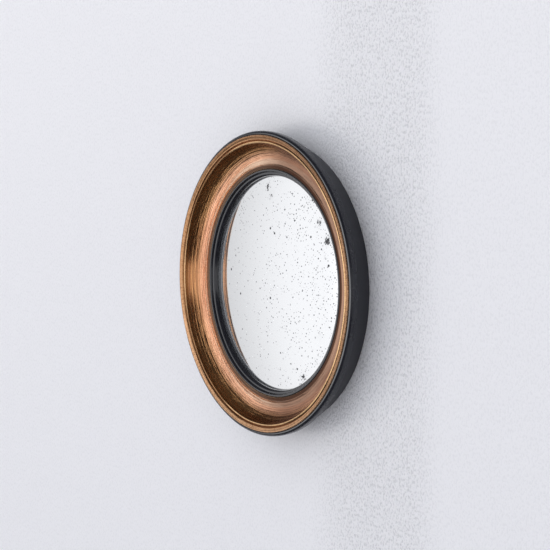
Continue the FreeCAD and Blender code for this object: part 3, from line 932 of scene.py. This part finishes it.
def spread_tree(name: str, material: Material) -> NodeTree:
    """A tree that repeats a piece round the axis or along a row, each turned at random about its own axis.

    Args:
        name: The tree's name.
        material: Finish of the pieces.

    Returns:
        The tree, with inputs Count, Radius, First, Step, Spacing and Twist.
    """
    kinds = {label: "NodeSocketFloat" for label in ("Radius", "First", "Step", "Spacing", "Twist")}
    g = GeometryGraph(name, {"Count": "NodeSocketInt", **kinds})
    line = g.node("GeometryNodeMeshLine", None, {"Count": g.given("Count")})
    index = g.node("GeometryNodeInputIndex")
    angle = g.given("First") + index * g.given("Step")
    slide = (index - (g.given("Count") - 1.0) / 2.0) * g.given("Spacing")
    radius = g.given("Radius")
    spot = g.vector(radius * g.math("COSINE", angle) + slide, 0.0, radius * g.math("SINE", angle))
    points = g.node("GeometryNodeSetPosition", None, {"Geometry": line, "Position": spot})
    limits = {"Min": 0.0, "Max": 1.0, "Seed": SEED}
    turn = g.node("FunctionNodeRandomValue", {"data_type": "FLOAT"}, limits, 1)
    twist = g.vector(0.0, turn * g.given("Twist"), 0.0)
    sockets = {"Points": points, "Instance": g.given("Geometry"), "Rotation": twist}
    copies = g.node("GeometryNodeInstanceOnPoints", None, sockets)
    solid = g.node("GeometryNodeRealizeInstances", None, {"Geometry": copies})
    return g.end(g.node("GeometryNodeSetMaterial", None, {"Geometry": solid, "Material": material}))


def new_object(name: str, mesh: Mesh) -> Object:
    """Links a mesh into the scene.

    Args:
        name: The object's name.
        mesh: Its mesh.

    Returns:
        The object.
    """
    made = bpy.data.objects.new(name, mesh)
    bpy.context.scene.collection.objects.link(made)
    return made


def run_tree(source: Object, tree: NodeTree, inputs: dict[str, Any]) -> Object:
    """Runs a geometry node tree on an object and keeps the result as a plain mesh.

    Args:
        source: The object that carries the input geometry; it is used up.
        tree: The tree.
        inputs: The tree's inputs by name.

    Returns:
        The object with its finished mesh.
    """
    modifier = source.modifiers.new(tree.name, "NODES")
    modifier.node_group = tree
    identifiers = {item.name: item.identifier for item in tree.interface.items_tree if item.in_out == "INPUT"}
    for label, value in inputs.items():
        modifier[identifiers[label]] = value
    return baked(source)


def baked(source: Object) -> Object:
    """Turns an object's live modifiers into a plain, smoothly shaded mesh.

    Args:
        source: The object.

    Returns:
        The same object, with no modifier left.
    """
    bpy.context.view_layer.update()
    graph = bpy.context.evaluated_depsgraph_get()
    mesh = bpy.data.meshes.new_from_object(source.evaluated_get(graph), depsgraph=graph)
    source.modifiers.clear()
    source.data = mesh
    mesh.name = source.name
    smooth(mesh)
    return source


def smooth(mesh: Mesh) -> None:
    """Smooth shading with sharp arrises kept.

    Args:
        mesh: The mesh.
    """
    mesh.polygons.foreach_set("use_smooth", [True] * len(mesh.polygons))
    mesh.set_sharp_from_angle(angle=SHARP_ANGLE)
    mesh.update()


def face_outwards(mesh: Mesh) -> None:
    """Turns the faces of a closed mesh outwards.

    Args:
        mesh: The mesh.
    """
    work = bmesh.new()
    work.from_mesh(mesh)
    bmesh.ops.recalc_face_normals(work, faces=work.faces)
    work.to_mesh(mesh)
    work.free()


def mesh_of(work: BMesh, name: str) -> Mesh:
    """Turns a working mesh into a mesh data-block.

    Args:
        work: The working mesh, which is freed.
        name: The data-block's name.

    Returns:
        The mesh.
    """
    mesh = bpy.data.meshes.new(name)
    work.to_mesh(mesh)
    work.free()
    return mesh


def cut_away(piece: Object, cutter: Object, **settings: Any) -> None:
    """Takes a cutter away from a piece and removes the cutter.

    Args:
        piece: The piece.
        cutter: The cutter.
        settings: More settings of the Boolean modifier.
    """
    cut = piece.modifiers.new("cut", "BOOLEAN")
    settings = {"operation": "DIFFERENCE", "solver": "EXACT", "object": cutter, **settings}
    for name, setting in settings.items():
        setattr(cut, name, setting)
    baked(piece)
    bpy.data.objects.remove(cutter)


def turned(
    name: str,
    section: Sequence[Point],
    base: Material,
    zones: Sequence[Zone] = (),
    segments: int = RING_SEGMENTS,
) -> Object:
    """A turned piece.

    Args:
        name: The piece's name.
        section: Its closed section.
        base: Finish where no zone says otherwise.
        zones: Zones with another finish.
        segments: Facets round the axis.

    Returns:
        The piece.
    """
    mesh = bpy.data.meshes.new(name)
    edges = [(index, (index + 1) % len(section)) for index in range(len(section))]
    mesh.from_pydata([(radius * MM, -rise * MM, 0.0) for radius, rise in section], edges, [])
    tree = turned_tree(name + "_turning", base, zones)
    piece = run_tree(new_object(name, mesh), tree, {"Segments": segments, "Points": len(section)})
    face_outwards(piece.data)
    smooth(piece.data)
    return piece


# ---- the mirror's sub-assemblies ------------------------------------------------------------
@dataclass
class Dome:
    """The sphere that the glass and its seat follow."""

    radius: float = 600.0
    sight_radius: float = 105.8
    sight_rise: float = 10.0

    def rise(self, radius: float, offset: float = 0.0) -> float:
        """Rise of the sphere, moved to offset in front of the glass, at a distance from the axis."""
        centre = self.sight_rise - math.sqrt(self.radius ** 2 - self.sight_radius ** 2)
        return centre + math.sqrt((self.radius + offset) ** 2 - radius ** 2)

    def run(self, start: float, end: float, offset: float, steps: int) -> list[Point]:
        """Points on the sphere between two radii, at offset in front of the glass."""
        radii = [start + (end - start) * index / steps for index in range(steps + 1)]
        return [(radius, self.rise(radius, offset)) for radius in radii]


@dataclass
class FrontMoulding:
    """The turned front: black roll, gilded flat, groove, bead, scoop and land."""

    leaf: Material
    lacquer: Material
    timber: Material
    widest: float = 150.0
    depth: float = 32.0
    seam_rise: float = 23.0
    roll_radius: float = 3.2
    roll_drop: float = 1.2
    roll_tuck: float = 0.4
    quirk_width: float = 0.8
    quirk_depth: float = 0.7
    crest_round: float = 0.6
    flat_width: float = 4.3
    flat_fall: float = 1.2
    groove_width: float = 1.4
    groove_depth: float = 1.3
    bead_radius: float = 1.5
    bead_drop: float = 1.5
    bead_start: float = 37.0
    step: Point = (0.3, 0.7)
    scoop_inner: Point = (116.5, 16.6)
    scoop_sag: float = 5.6
    bore: float = 113.1
    spigot: Point = (138.5, 12.0)
    ledge: float = 1.5
    arris: float = 0.18
    zone_lap: float = 0.02
    gilding_inset: float = 0.05

    @property
    def gilding_edge(self) -> float:
        """Radius where the gilding stops at the quirk."""
        return self.widest - self.roll_radius - self.quirk_width

    def section(self) -> list[Point]:
        """The moulding's section.

        Returns:
            The closed section.
        """
        roll_r = self.widest - self.roll_radius
        roll_h = self.depth - self.roll_drop
        floor = roll_h - self.quirk_depth
        edge = self.gilding_edge
        flat = (edge - self.flat_width, self.depth - self.flat_fall)
        start = math.radians(self.bead_start)
        bead_r = flat[0] - self.groove_width - self.bead_radius * math.cos(start)
        bead_h = self.depth - self.bead_drop - self.bead_radius
        bead = beaded((bead_r, bead_h), self.bead_radius, start, 14)
        scoop_top = (bead_r - self.bead_radius - self.step[0], bead_h - self.step[1])
        roll_foot = (self.widest, roll_h - self.roll_radius)
        roll = bowed(roll_foot, (roll_r, roll_h), self.roll_radius * QUARTER_BOW, 12)
        crest_foot, crest_top = (edge, self.depth - self.crest_round), (edge - self.crest_round, self.depth)
        crest = bowed(crest_foot, crest_top, self.crest_round * QUARTER_BOW, 5)
        quirk = [(roll_r - self.quirk_width / 2, floor), (edge, floor)]
        groove = [flat, (flat[0] - self.groove_width / 2, flat[1] - self.groove_depth)]
        scoop = bowed(scoop_top, self.scoop_inner, -self.scoop_sag, 40)
        seam = (self.widest - self.roll_tuck, self.seam_rise)
        front = joined([seam], roll, quirk, crest, groove, bead, scoop, [(self.bore, self.scoop_inner[1])])
        ledge = (self.widest - self.ledge, self.seam_rise)
        back = [(self.bore, self.spigot[1]), self.spigot, (self.spigot[0], self.seam_rise), ledge]
        return eased(joined(front, back), self.arris)

    def build(self) -> Object:
        """Turns the moulding.

        Returns:
            The piece.
        """
        edge = self.gilding_edge + self.zone_lap
        zones = [
            Zone(self.lacquer, edge, self.widest + 1, self.seam_rise - self.zone_lap),
            Zone(self.leaf, self.bore + self.gilding_inset, edge, self.spigot[1] + 0.3),
        ]
        piece = turned("front_moulding_turned", self.section(), self.timber, zones)
        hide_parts("front_moulding")
        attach(piece, FIXED_BODY)
        return piece


@dataclass
class Pocket:
    """A round sinking in the carcass's back."""

    radius: float
    depth: float
    at: float
    angles: Sequence[float]
    top_radius: float | None = None
    below: float = 0.0


@dataclass
class Carcass:
    """The tapered outer ring against the wall, with the recesses worked into its back."""

    lacquer: Material
    timber: Material
    wall_radius: float = 137.5
    seam: Point = (149.1, 23.0)
    socket: Point = (138.6, 12.0)
    flange_seat: Point = (118.1, 9.0)
    glass_well: float = 110.6
    board_well: Point = (113.0, 6.0)
    edge_round: float = 1.0
    arris: float = 0.22
    hanger_size: Point = (44.2, 18.2)
    hanger_depth: float = 1.5
    head_room: Point = (5.2, 7.5)
    keyhole: Point = (123.35, 128.35)
    pilot_radius: float = 1.55
    overrun: float = 2.0
    bare_arris: float = 0.12

    def section(self) -> list[Point]:
        """The ring's section before the back is worked.

        Returns:
            The closed section.
        """
        taper = (self.seam[0] - self.wall_radius) / self.seam[1]
        low = (self.wall_radius - self.edge_round, 0.0)
        high = (self.wall_radius + taper * self.edge_round, self.edge_round)
        edge = bowed(low, high, self.edge_round * QUARTER_BOW, 6)
        outline = [
            self.seam,
            (self.socket[0], self.seam[1]),
            self.socket,
            (self.flange_seat[0], self.socket[1]),
            self.flange_seat,
            (self.glass_well, self.flange_seat[1]),
            (self.glass_well, self.board_well[1]),
            self.board_well,
            (self.board_well[0], 0.0),
        ]
        return eased(joined(edge, outline), self.arris)

    def pockets(self) -> list[Pocket]:
        """The round sinkings in the back.

        Returns:
            One entry for each size and circle.
        """
        corners = (45.0, 135.0, 225.0, 315.0)
        sixths = tuple(60.0 * index for index in range(6))
        return [
            Pocket(14.0, 3.5, BUTTON_CIRCLE, corners),
            Pocket(self.pilot_radius, 8.7, BUTTON_CIRCLE, corners),
            Pocket(3.25, 0.3, SCREW_CIRCLE, sixths),
            Pocket(3.25, 2.2, SCREW_CIRCLE, sixths, 1.65, 0.3),
            Pocket(1.65, 12.5, SCREW_CIRCLE, sixths, None, 2.2),
            Pocket(6.05, 0.8, FITTING_CIRCLE, (255.0, 285.0)),
        ]

    def cutter(self) -> Object:
        """All the sinkings as one set of closed solids.

        Returns:
            An object that isn't kept.
        """
        work = bmesh.new()
        for pocket in self.pockets():
            for angle in pocket.angles:
                turn = math.radians(angle)
                middle = (pocket.at * math.cos(turn), pocket.at * math.sin(turn))
                low = pocket.below if pocket.below else -self.overrun
                top = pocket.top_radius if pocket.top_radius else pocket.radius
                self._post(work, middle, pocket.radius, top, low, pocket.depth)
        self._hanger_recess(work)
        for height in self.keyhole:
            self._post(work, (0.0, height), self.head_room[0], self.head_room[0], 0.5, self.head_room[1])
        for side in (-0.5, 0.5):
            at = (side * HANGER_SCREW_SPACING, FITTING_CIRCLE)
            self._post(work, at, self.pilot_radius, self.pilot_radius, 0.5, 9.8)
        mesh = mesh_of(work, "carcass_cutter")
        mesh.materials.append(self.timber)
        return new_object("carcass_cutter", mesh)

    @staticmethod
    def _post(
        work: BMesh, at: Point, radius: float, top: float, low: float, high: float
    ) -> None:
        """Adds a closed cylinder or cone along the mirror's axis.

        Args:
            work: The mesh.
            at: Its x and z.
            radius: Radius at the low end.
            top: Radius at the high end.
            low: Rise of the low end.
            high: Rise of the high end.
        """
        segments = 64 if radius > 4 else 32
        middle = Vector((at[0], -(low + high) / 2, at[1])) * MM
        place = Matrix.Translation(middle) @ Matrix.Rotation(math.radians(90), 4, "X")
        bmesh.ops.create_cone(
            work,
            cap_ends=True,
            segments=segments,
            radius1=radius * MM,
            radius2=top * MM,
            depth=(high - low) * MM,
            matrix=place,
        )

    def _hanger_recess(self, work: BMesh) -> None:
        """Adds the hanger's round-ended sinking.

        Args:
            work: The mesh.
        """
        length, width = self.hanger_size
        outline = []
        for side in (1, -1):
            for index in range(33):
                turn = math.radians(-90 + 180 * index / 32) + (0 if side > 0 else math.pi)
                x = side * (length - width) / 2 + width / 2 * math.cos(turn)
                outline.append((x, FITTING_CIRCLE + width / 2 * math.sin(turn)))
        low = [work.verts.new((x * MM, self.overrun * MM, z * MM)) for x, z in outline]
        high = [work.verts.new((x * MM, -self.hanger_depth * MM, z * MM)) for x, z in outline]
        work.faces.new(low)
        work.faces.new(list(reversed(high)))
        for index in range(len(outline)):
            following = (index + 1) % len(outline)
            work.faces.new((low[following], low[index], high[index], high[following]))

    def build(self) -> Object:
        """Turns the ring and works its back.

        Returns:
            The piece.
        """
        beyond = self.seam[0] + 1
        zones = [
            Zone(self.lacquer, self.wall_radius - 0.6, beyond, self.bare_arris, self.seam[1] - 0.05),
            Zone(self.lacquer, self.seam[0] - 0.5, beyond, self.bare_arris, self.seam[1] + 0.02),
        ]
        piece = turned("carcass_ring_turned", self.section(), self.timber, zones, PLAIN_SEGMENTS)
        cutter = self.cutter()
        face_outwards(cutter.data)
        cut_away(piece, cutter, use_self=True, material_mode="TRANSFER")
        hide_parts("carcass_ring")
        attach(piece, FIXED_BODY)
        return piece


@dataclass
class InnerSlip:
    """The black slip between scoop and glass."""

    dome: Dome
    lacquer: Material
    outer: float = 113.0
    sight: float = 105.8
    bead_radius: float = 1.7
    bead_rise: float = 16.8
    quirk: Point = (0.35, 0.7)
    ovolo_rise: float = 14.8
    ovolo_bow: float = 1.15
    lip: Point = (1.0, 1.0)
    lip_gap: float = 0.3
    felt_gap: float = 0.9
    well: float = 110.6
    flange: Point = (118.0, 9.0)
    flange_front: float = 12.0
    arris: float = 0.12

    def section(self) -> list[Point]:
        """The slip's section.

        Returns:
            The closed section.
        """
        side = self.bead_rise - self.bead_radius
        middle = self.outer - self.bead_radius
        bead = beaded((middle, side), self.bead_radius, 0.0, 16)
        floor = (middle - self.bead_radius, side - self.quirk[1])
        ovolo_top = (floor[0] - self.quirk[0], self.ovolo_rise)
        lip_rise = self.dome.rise(self.sight, self.lip_gap)
        ovolo = bowed(ovolo_top, (self.sight, lip_rise + self.lip[1]), self.ovolo_bow, 14)
        seat = self.sight + self.lip[0]
        lip = self.dome.run(self.sight, seat, self.lip_gap, 2)
        dish = self.dome.run(seat, self.well, self.felt_gap, 4)
        back = [(self.well, self.flange[1]), self.flange]
        shoulder = [(self.flange[0], self.flange_front), (self.outer, self.flange_front)]
        return eased(joined(bead, [floor], ovolo, lip, dish, back, shoulder), self.arris)

    def build(self) -> Object:
        """Turns the slip.

        Returns:
            The piece.
        """
        piece = turned("inner_slip_turned", self.section(), self.lacquer)
        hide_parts("inner_slip")
        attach(piece, FIXED_BODY)
        return piece


@dataclass
class GlassPack:
    """The domed glass, the felt before its rim, the foam behind it and the board that closes the back."""

    dome: Dome
    silver: Material
    felt: Material
    foam: Material
    board: Material
    backing: Material
    glass_radius: float = 110.0
    thickness: float = 2.2
    bevel: float = 0.4
    felt_inner: float = 106.9
    felt_thickness: float = 0.8
    soft_gap: float = 0.05
    packing_width: float = 6.6
    board_rises: Point = (3.5, 6.0)
    board_radius: float = 112.5
    board_round: float = 0.3
    felt_round: float = 0.2
    foam_bulge: float = 0.12
    front_facing: float = 0.3

    def glass(self) -> Object:
        """The silvered glass.

        Returns:
            The piece.
        """
        rim = self.glass_radius - self.bevel
        front = self.dome.run(0.0, rim, 0.0, 72)
        back = self.dome.run(rim, 0.0, -self.thickness, 36)
        edge = [(self.glass_radius, front[-1][1] - self.bevel), (self.glass_radius, back[0][1] + self.bevel)]
        piece = turned("convex_glass_blown", joined(front, edge, back), self.backing)
        self._silver_front(piece.data)
        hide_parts("convex_glass")
        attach(piece, FIXED_BODY)
        return piece

    def _silver_front(self, mesh: Mesh) -> None:
        """Silvers the faces that look forward and leaves the backing paint on the rest.

        Args:
            mesh: The glass.
        """
        mesh.materials.append(self.silver)
        slots = list(mesh.materials)
        silver, backing = slots.index(self.silver), slots.index(self.backing)
        for face in mesh.polygons:
            face.material_index = silver if face.normal.y < -self.front_facing else backing

    def felt_ring(self) -> Object:
        """The felt ring between lip and glass.

        Returns:
            The piece.
        """
        near, far = self.soft_gap, self.soft_gap + self.felt_thickness
        front = self.dome.run(self.felt_inner, self.glass_radius, far, 5)
        back = self.dome.run(self.glass_radius, self.felt_inner, near, 5)
        section = eased(joined(front, back), self.felt_round)
        piece = turned("seat_felt_cut", section, self.felt, (), PLAIN_SEGMENTS)
        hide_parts("glass_seat_felt")
        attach(piece, FIXED_BODY)
        return piece

    def foam_ring(self) -> Object:
        """The packing ring behind the glass.

        Returns:
            The piece.
        """
        inner, outer = self.glass_radius - self.packing_width, self.glass_radius - self.bevel
        gap = -self.thickness - self.soft_gap
        front = self.dome.run(inner, outer, gap, 6)
        low = self.board_rises[1]
        sides = [
            bowed((outer, front[-1][1]), (outer, low), -self.foam_bulge, 6),
            [(outer, low), (inner, low)],
            bowed((inner, low), (inner, front[0][1]), -self.foam_bulge, 6),
        ]
        piece = turned("packing_foam_cut", joined(front, *sides), self.foam, (), PLAIN_SEGMENTS)
        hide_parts("foam_packing_ring")
        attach(piece, FIXED_BODY)
        return piece

    def back_board(self) -> Object:
        """The board disc.

        Returns:
            The piece.
        """
        low, high = self.board_rises
        outline = [(0.0, low), (self.board_radius, low), (self.board_radius, high), (0.0, high)]
        section = eased(outline, self.board_round)
        piece = turned("back_board_cut", section, self.board, (), PLAIN_SEGMENTS)
        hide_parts("back_board")
        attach(piece, FIXED_BODY)
        return piece

    def build(self) -> list[Object]:
        """Makes the whole pack."""
        return [self.glass(), self.felt_ring(), self.foam_ring(), self.back_board()]


class Head(Enum):
    """Form of a wood screw's head."""

    PAN = "pan"
    COUNTERSUNK = "countersunk"


@dataclass
class WoodScrew:
    """A slotted wood screw, drawn along the mirror's axis with its point towards the front."""

    head: Head
    head_radius: float
    head_height: float
    shank_radius: float
    head_rise: float
    tip_rise: float
    pitch: float = 1.25
    root: float = 0.70
    point_length: float = 2.4
    plain_share: float = 0.3
    slot: Point = (0.8, 0.6)
    facets: int = 28
    rows_per_turn: int = 8
    pan_round: float = 0.8
    rim_bevel: float = 0.12
    crest_width: float = 0.22
    blunt: float = 0.08
    least_radius: float = 0.04

    @property
    def neck(self) -> float:
        """Rise where the head ends."""
        return self.head_rise + self.head_height

    def head_section(self) -> list[Point]:
        """The head's half section, from the flat of its back to the neck.

        Returns:
            Points as (radius, rise).
        """
        cut = self.rim_bevel if self.head is Head.COUNTERSUNK else self.pan_round
        rim = [(self.head_radius - cut, self.head_rise), (self.head_radius, self.head_rise + cut)]
        if self.head is Head.PAN:
            rim = [*bowed(*rim, cut * QUARTER_BOW, 6), (self.head_radius, self.neck)]
        return [*rim, (self.shank_radius, self.neck)]

    def shank_radius_at(self, rise: float, turn: float) -> float:
        """Radius of the thread at a place on the shank.

        Args:
            rise: Distance in front of the wall.
            turn: Place round the screw, in turns.

        Returns:
            The radius.
        """
        plain_end = self.neck + (self.tip_rise - self.neck) * self.plain_share
        if rise <= plain_end:
            return self.shank_radius
        wave = ((rise - plain_end) / self.pitch - turn) % 1.0
        crest = max(0.0, 1.0 - abs(wave - 0.5) / self.crest_width)
        grown = min(1.0, (rise - plain_end) / self.pitch)
        radius = self.shank_radius * (1.0 - (1.0 - self.root) * grown * (1.0 - crest))
        left = (self.tip_rise - rise) / self.point_length
        return max(self.least_radius, radius * min(1.0, self.blunt + (1.0 - self.blunt) * left))

    def mesh(self) -> Mesh:
        """The screw as one closed mesh with its driver slot cut.

        Returns:
            The mesh.
        """
        turns = [facet / self.facets for facet in range(self.facets)]
        rings = [[(radius, rise)] * self.facets for radius, rise in self.head_section()]
        steps = int((self.tip_rise - self.neck) / self.pitch * self.rows_per_turn)
        for index in range(1, steps + 1):
            rise = self.neck + (self.tip_rise - self.neck) * index / steps
            rings.append([(self.shank_radius_at(rise, turn), rise) for turn in turns])
        work = bmesh.new()
        rows = []
        for ring in rings:
            row = []
            for facet, (radius, rise) in enumerate(ring):
                angle = TAU * facet / self.facets
                x, z = radius * math.cos(angle) * MM, radius * math.sin(angle) * MM
                row.append(work.verts.new((x, -rise * MM, z)))
            rows.append(row)
        for low, high in zip(rows, rows[1:]):
            for facet in range(self.facets):
                following = (facet + 1) % self.facets
                work.faces.new((low[facet], low[following], high[following], high[facet]))
        work.faces.new(rows[0])
        work.faces.new(rows[-1])
        bmesh.ops.recalc_face_normals(work, faces=work.faces)
        return self._slotted(mesh_of(work, "wood_screw"))

    def _slotted(self, mesh: Mesh) -> Mesh:
        """Cuts the driver slot.

        Args:
            mesh: The screw.

        Returns:
            The screw with its slot.
        """
        blank = new_object("wood_screw_blank", mesh)
        work = bmesh.new()
        size = Vector((self.slot[0], 2 * self.slot[1], 4 * self.head_radius)) * MM
        place = Matrix.Translation((0.0, -self.head_rise * MM, 0.0)) @ Matrix.Diagonal((*size, 1.0))
        bmesh.ops.create_cube(work, size=1.0, matrix=place)
        cut_away(blank, new_object("slot_blade", mesh_of(work, "slot_blade")))
        result = blank.data
        bpy.data.objects.remove(blank)
        return result


@dataclass
class Layout:
    """Where the copies of a repeated piece go."""

    count: int
    radius: float
    first: float
    step: float = 0.0
    spacing: float = 0.0
    twist: float = TAU

    def inputs(self) -> dict[str, Any]:
        """The layout as the spread tree's inputs.

        Returns:
            Value by input name, in metres and radians.
        """
        return {
            "Count": self.count,
            "Radius": self.radius * MM,
            "First": math.radians(self.first),
            "Step": math.radians(self.step),
            "Spacing": self.spacing * MM,
            "Twist": self.twist,
        }


@dataclass
class Fixings:
    """Screws, turn buttons, keyhole plate and wall pads."""

    brass: Material
    passivated: Material
    zinc: Material
    felt: Material
    nodes: dict[str, Object]
    pieces: list[Object] = field(default_factory=list)

    def _spread(
        self, name: str, mesh: Mesh, layout: Layout, material: Material, slot: str
    ) -> None:
        """Repeats a piece and hands it to the frame.

        Args:
            name: The CAD node that it stands for.
            mesh: One copy.
            layout: Where the copies go.
            material: Their finish.
            slot: Not used.
        """
        tree = spread_tree(name + "_spread", material)
        piece = run_tree(new_object(name + "_made", mesh), tree, layout.inputs())
        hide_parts(name)
        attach(piece, FIXED_BODY)
        self.pieces.append(piece)

    def screws(self) -> None:
        """The three kinds of screw."""
        button = WoodScrew(Head.PAN, 3.0, 1.3, 1.5, 0.4, 8.7).mesh()
        hanger = WoodScrew(Head.COUNTERSUNK, 3.0, 1.4, 1.5, 0.3, 9.8).mesh()
        moulding = WoodScrew(Head.COUNTERSUNK, 3.2, 1.9, 1.6, 0.3, 18.11).mesh()
        corners = Layout(4, BUTTON_CIRCLE, 45.0, 90.0)
        pair = Layout(2, FITTING_CIRCLE, 90.0, 0.0, HANGER_SCREW_SPACING)
        sixths = Layout(6, SCREW_CIRCLE, 0.0, 60.0)
        self._spread("turn_button_screws", button, corners, self.brass, "brass_screws")
        self._spread("hanger_screws", hanger, pair, self.zinc, "plated_steel")
        self._spread("moulding_screws", moulding, sixths, self.passivated, "steel_screws")

    def pads(self) -> None:
        """The two felt pads at the foot of the back."""
        radius, thickness = 6.0, 0.8
        section = [(0.0, 0.0), (radius, 0.0), (radius, thickness), (0.0, thickness)]
        pad = turned("wall_pad", eased(section, 0.25, 4), self.felt, (), 72)
        mesh = pad.data
        bpy.data.objects.remove(pad)
        layout = Layout(2, FITTING_CIRCLE, 255.0, 30.0, twist=0.0)
        self._spread("wall_pads", mesh, layout, self.felt, "felt")

    def plates(self) -> None:
        """The CAD nodes that keep their shape and get a finish."""
        finishes = {"keyhole_hanger": self.zinc}
        corners = ("upper_right", "upper_left", "lower_left", "lower_right")
        finishes.update({"turn_button_" + corner: self.brass for corner in corners})
        for name, material in finishes.items():
            node = self.nodes[name]
            node.data.materials.clear()
            node.data.materials.append(material)
            self.pieces.append(node)

    def build(self) -> list[Object]:
        """Makes all the fixings.

        Returns:
            The pieces.
        """
        self.screws()
        self.pads()
        self.plates()
        return self.pieces


# ---- the studio ---------------------------------------------------------------------------
@dataclass
class Studio:
    """Pale wall and floor, soft light and the camera."""

    azimuth: float = 55.23
    elevation: float = 4.41
    lens: float = 125.0
    distance: float = 1.875
    aim: tuple[float, float, float] = (0.0, -0.0288, 0.0)
    aim_offset: Point = (-0.01384, -0.00864)
    hole: float = 0.1345
    wall_size: float = 5.0
    wall_facets: int = 192
    floor_drop: float = 1.6
    key_strength: float = 2.20
    fill_strength: float = 0.90

    def camera(self) -> None:
        """Sets the camera at the photographed angle."""
        turn, lift = math.radians(self.azimuth), math.radians(self.elevation)
        right = Vector((math.cos(turn), math.sin(turn), 0.0))
        back = Vector((math.sin(turn) * math.cos(lift), -math.cos(turn) * math.cos(lift), math.sin(lift)))
        up = back.cross(right)
        place = Vector(self.aim) - right * self.aim_offset[0] - up * self.aim_offset[1] + back * self.distance
        data = bpy.data.cameras.new("camera")
        data.lens = self.lens
        data.sensor_width = 36.0
        data.clip_end = 60.0
        camera = bpy.data.objects.new("camera", data)
        camera.matrix_world = Matrix.Translation(place) @ Matrix((right, up, back)).transposed().to_4x4()
        bpy.context.scene.collection.objects.link(camera)
        bpy.context.scene.camera = camera

    def backdrop(self) -> None:
        """Wall with a hidden hole behind the mirror, and a floor."""
        wall_paint = RolledPaint("wall_paint", (0.945, 0.915, 0.905), 2.0, 0.46).build()
        floor_paint = RolledPaint("floor_paint", (0.78, 0.78, 0.79), 0.02, 0.05).build()
        work = bmesh.new()
        rings = []
        for reach in (self.hole, self.wall_size):
            turns = [TAU * index / self.wall_facets for index in range(self.wall_facets)]
            spots = [(math.cos(turn) * reach, WALL_PLANE, math.sin(turn) * reach) for turn in turns]
            rings.append([work.verts.new(spot) for spot in spots])
        inner, outer = rings
        for index in range(self.wall_facets):
            following = (index + 1) % self.wall_facets
            work.faces.new((inner[index], outer[index], outer[following], inner[following]))
        mesh = mesh_of(work, "wall")
        if mesh.polygons[0].normal.y > 0:
            mesh.flip_normals()
        mesh.materials.append(wall_paint)
        new_object("wall", mesh)
        reach, low = self.wall_size, -self.floor_drop
        back, front = WALL_PLANE, -reach
        corners = [(-reach, back, low), (-reach, front, low), (reach, front, low), (reach, back, low)]
        floor = bpy.data.meshes.new("floor")
        floor.from_pydata(corners, [], [(0, 1, 2, 3)])
        if floor.polygons[0].normal.z < 0:
            floor.flip_normals()
        floor.materials.append(floor_paint)
        ground = new_object("floor", floor)
        ground.visible_glossy = False

    def lamps(self) -> None:
        """A soft key from the left, in front and a little below."""
        key = bpy.data.lights.new("key", "SUN")
        key.energy = self.key_strength
        key.angle = math.radians(42.0)
        key.color = (1.0, 0.985, 0.965)
        lamp = bpy.data.objects.new("key", key)
        towards = Vector((0.84, 0.52, 0.38))
        lamp.rotation_euler = towards.to_track_quat("-Z", "Y").to_euler()
        lamp.visible_glossy = False
        bpy.context.scene.collection.objects.link(lamp)

    def world(self) -> None:
        """Pale surroundings: brighter on the window side, dim towards the room."""
        world = bpy.data.worlds.new("room")
        world.use_nodes = True
        world.node_tree.nodes.clear()
        g = Graph(world.node_tree)
        x, y, z = g.split(g.node("ShaderNodeTexCoord", None, None, "Generated"))
        level = (x * x + y * y).sqrt()
        ahead, left = (0.0 - y) / level, (0.0 - x) / level
        side = left.step(-0.34, 0.06)
        glare = 1.0 + left.step(0.62, 0.45) * 0.30
        dimmed = 1.0 - left.step(0.55, 1.0) * 0.38 * ahead.step(0.9, 0.2)
        shade = glare * dimmed * (0.35 + ahead.step(0.0, 0.27) * 0.65)
        height = z.band(-0.07, 0.28, 0.28)
        band = z.band(-0.03, 0.15, 0.10)
        room = side * (0.05 + height * 0.95 * shade) + (1.0 - side) * (0.035 + band * 0.68)
        mirrored = g.node("ShaderNodeLightPath", output="Is Glossy Ray")
        seen = mirrored.beside("Is Camera Ray").at_least(mirrored.beside("Is Transmission Ray"))
        strength = mirrored * room * 1.06 + seen * 0.86 + (1.0 - mirrored.at_least(seen)) * self.fill_strength
        tint = g.mix(mirrored, (0.87, 0.915, 1.0), (0.985, 0.985, 1.0))
        back = g.node("ShaderNodeBackground", None, {"Color": tint, "Strength": strength})
        g.node("ShaderNodeOutputWorld", None, {"Surface": back})
        bpy.context.scene.world = world

    def build(self) -> None:
        """Sets up the whole studio."""
        self.camera()
        self.backdrop()
        self.lamps()
        self.world()
        bpy.context.scene.view_settings.view_transform = "Standard"


def report(pieces: Iterable[Object]) -> None:
    """Logs each finished piece."""
    for piece in pieces:
        LOG.info("%s: %d faces", piece.name, len(piece.data.polygons))


def main() -> None:
    """Builds and dresses the mirror, then the studio."""
    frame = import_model()
    leaf = MetalLeaf().build()
    roll = BlackLacquer(Lacquer.ROLL).build()
    side = BlackLacquer(Lacquer.SIDE).build()
    polished = BlackLacquer(Lacquer.SLIP).build()
    timber = TurnedTimber().build()
    felt = WoolFelt().build()
    brass = WorkedMetal("tumbled_brass", (0.80, 0.58, 0.27), (0.46, 0.30, 0.13), 0.26).build()
    zinc = WorkedMetal("zinc_plate", (0.72, 0.73, 0.74), (0.46, 0.47, 0.49), 0.28).build()
    passivated = WorkedMetal("passivated_steel", (0.62, 0.54, 0.34), (0.36, 0.33, 0.27), 0.32).build()
    backing = BlackLacquer(Lacquer.SIDE).build()
    dome = Dome()
    report([FrontMoulding(leaf, roll, timber).build()])
    report([Carcass(side, timber).build()])
    report([InnerSlip(dome, polished).build()])
    silver, foam, board = FoxedSilver().build(), ClosedCellFoam().build(), Hardboard().build()
    report(GlassPack(dome, silver, felt, foam, board, backing).build())
    report(Fixings(brass, passivated, zinc, felt, frame["nodes"]).build())
    Studio().build()


if __name__ == "__main__":
    logging.basicConfig(level=logging.INFO)
    main()
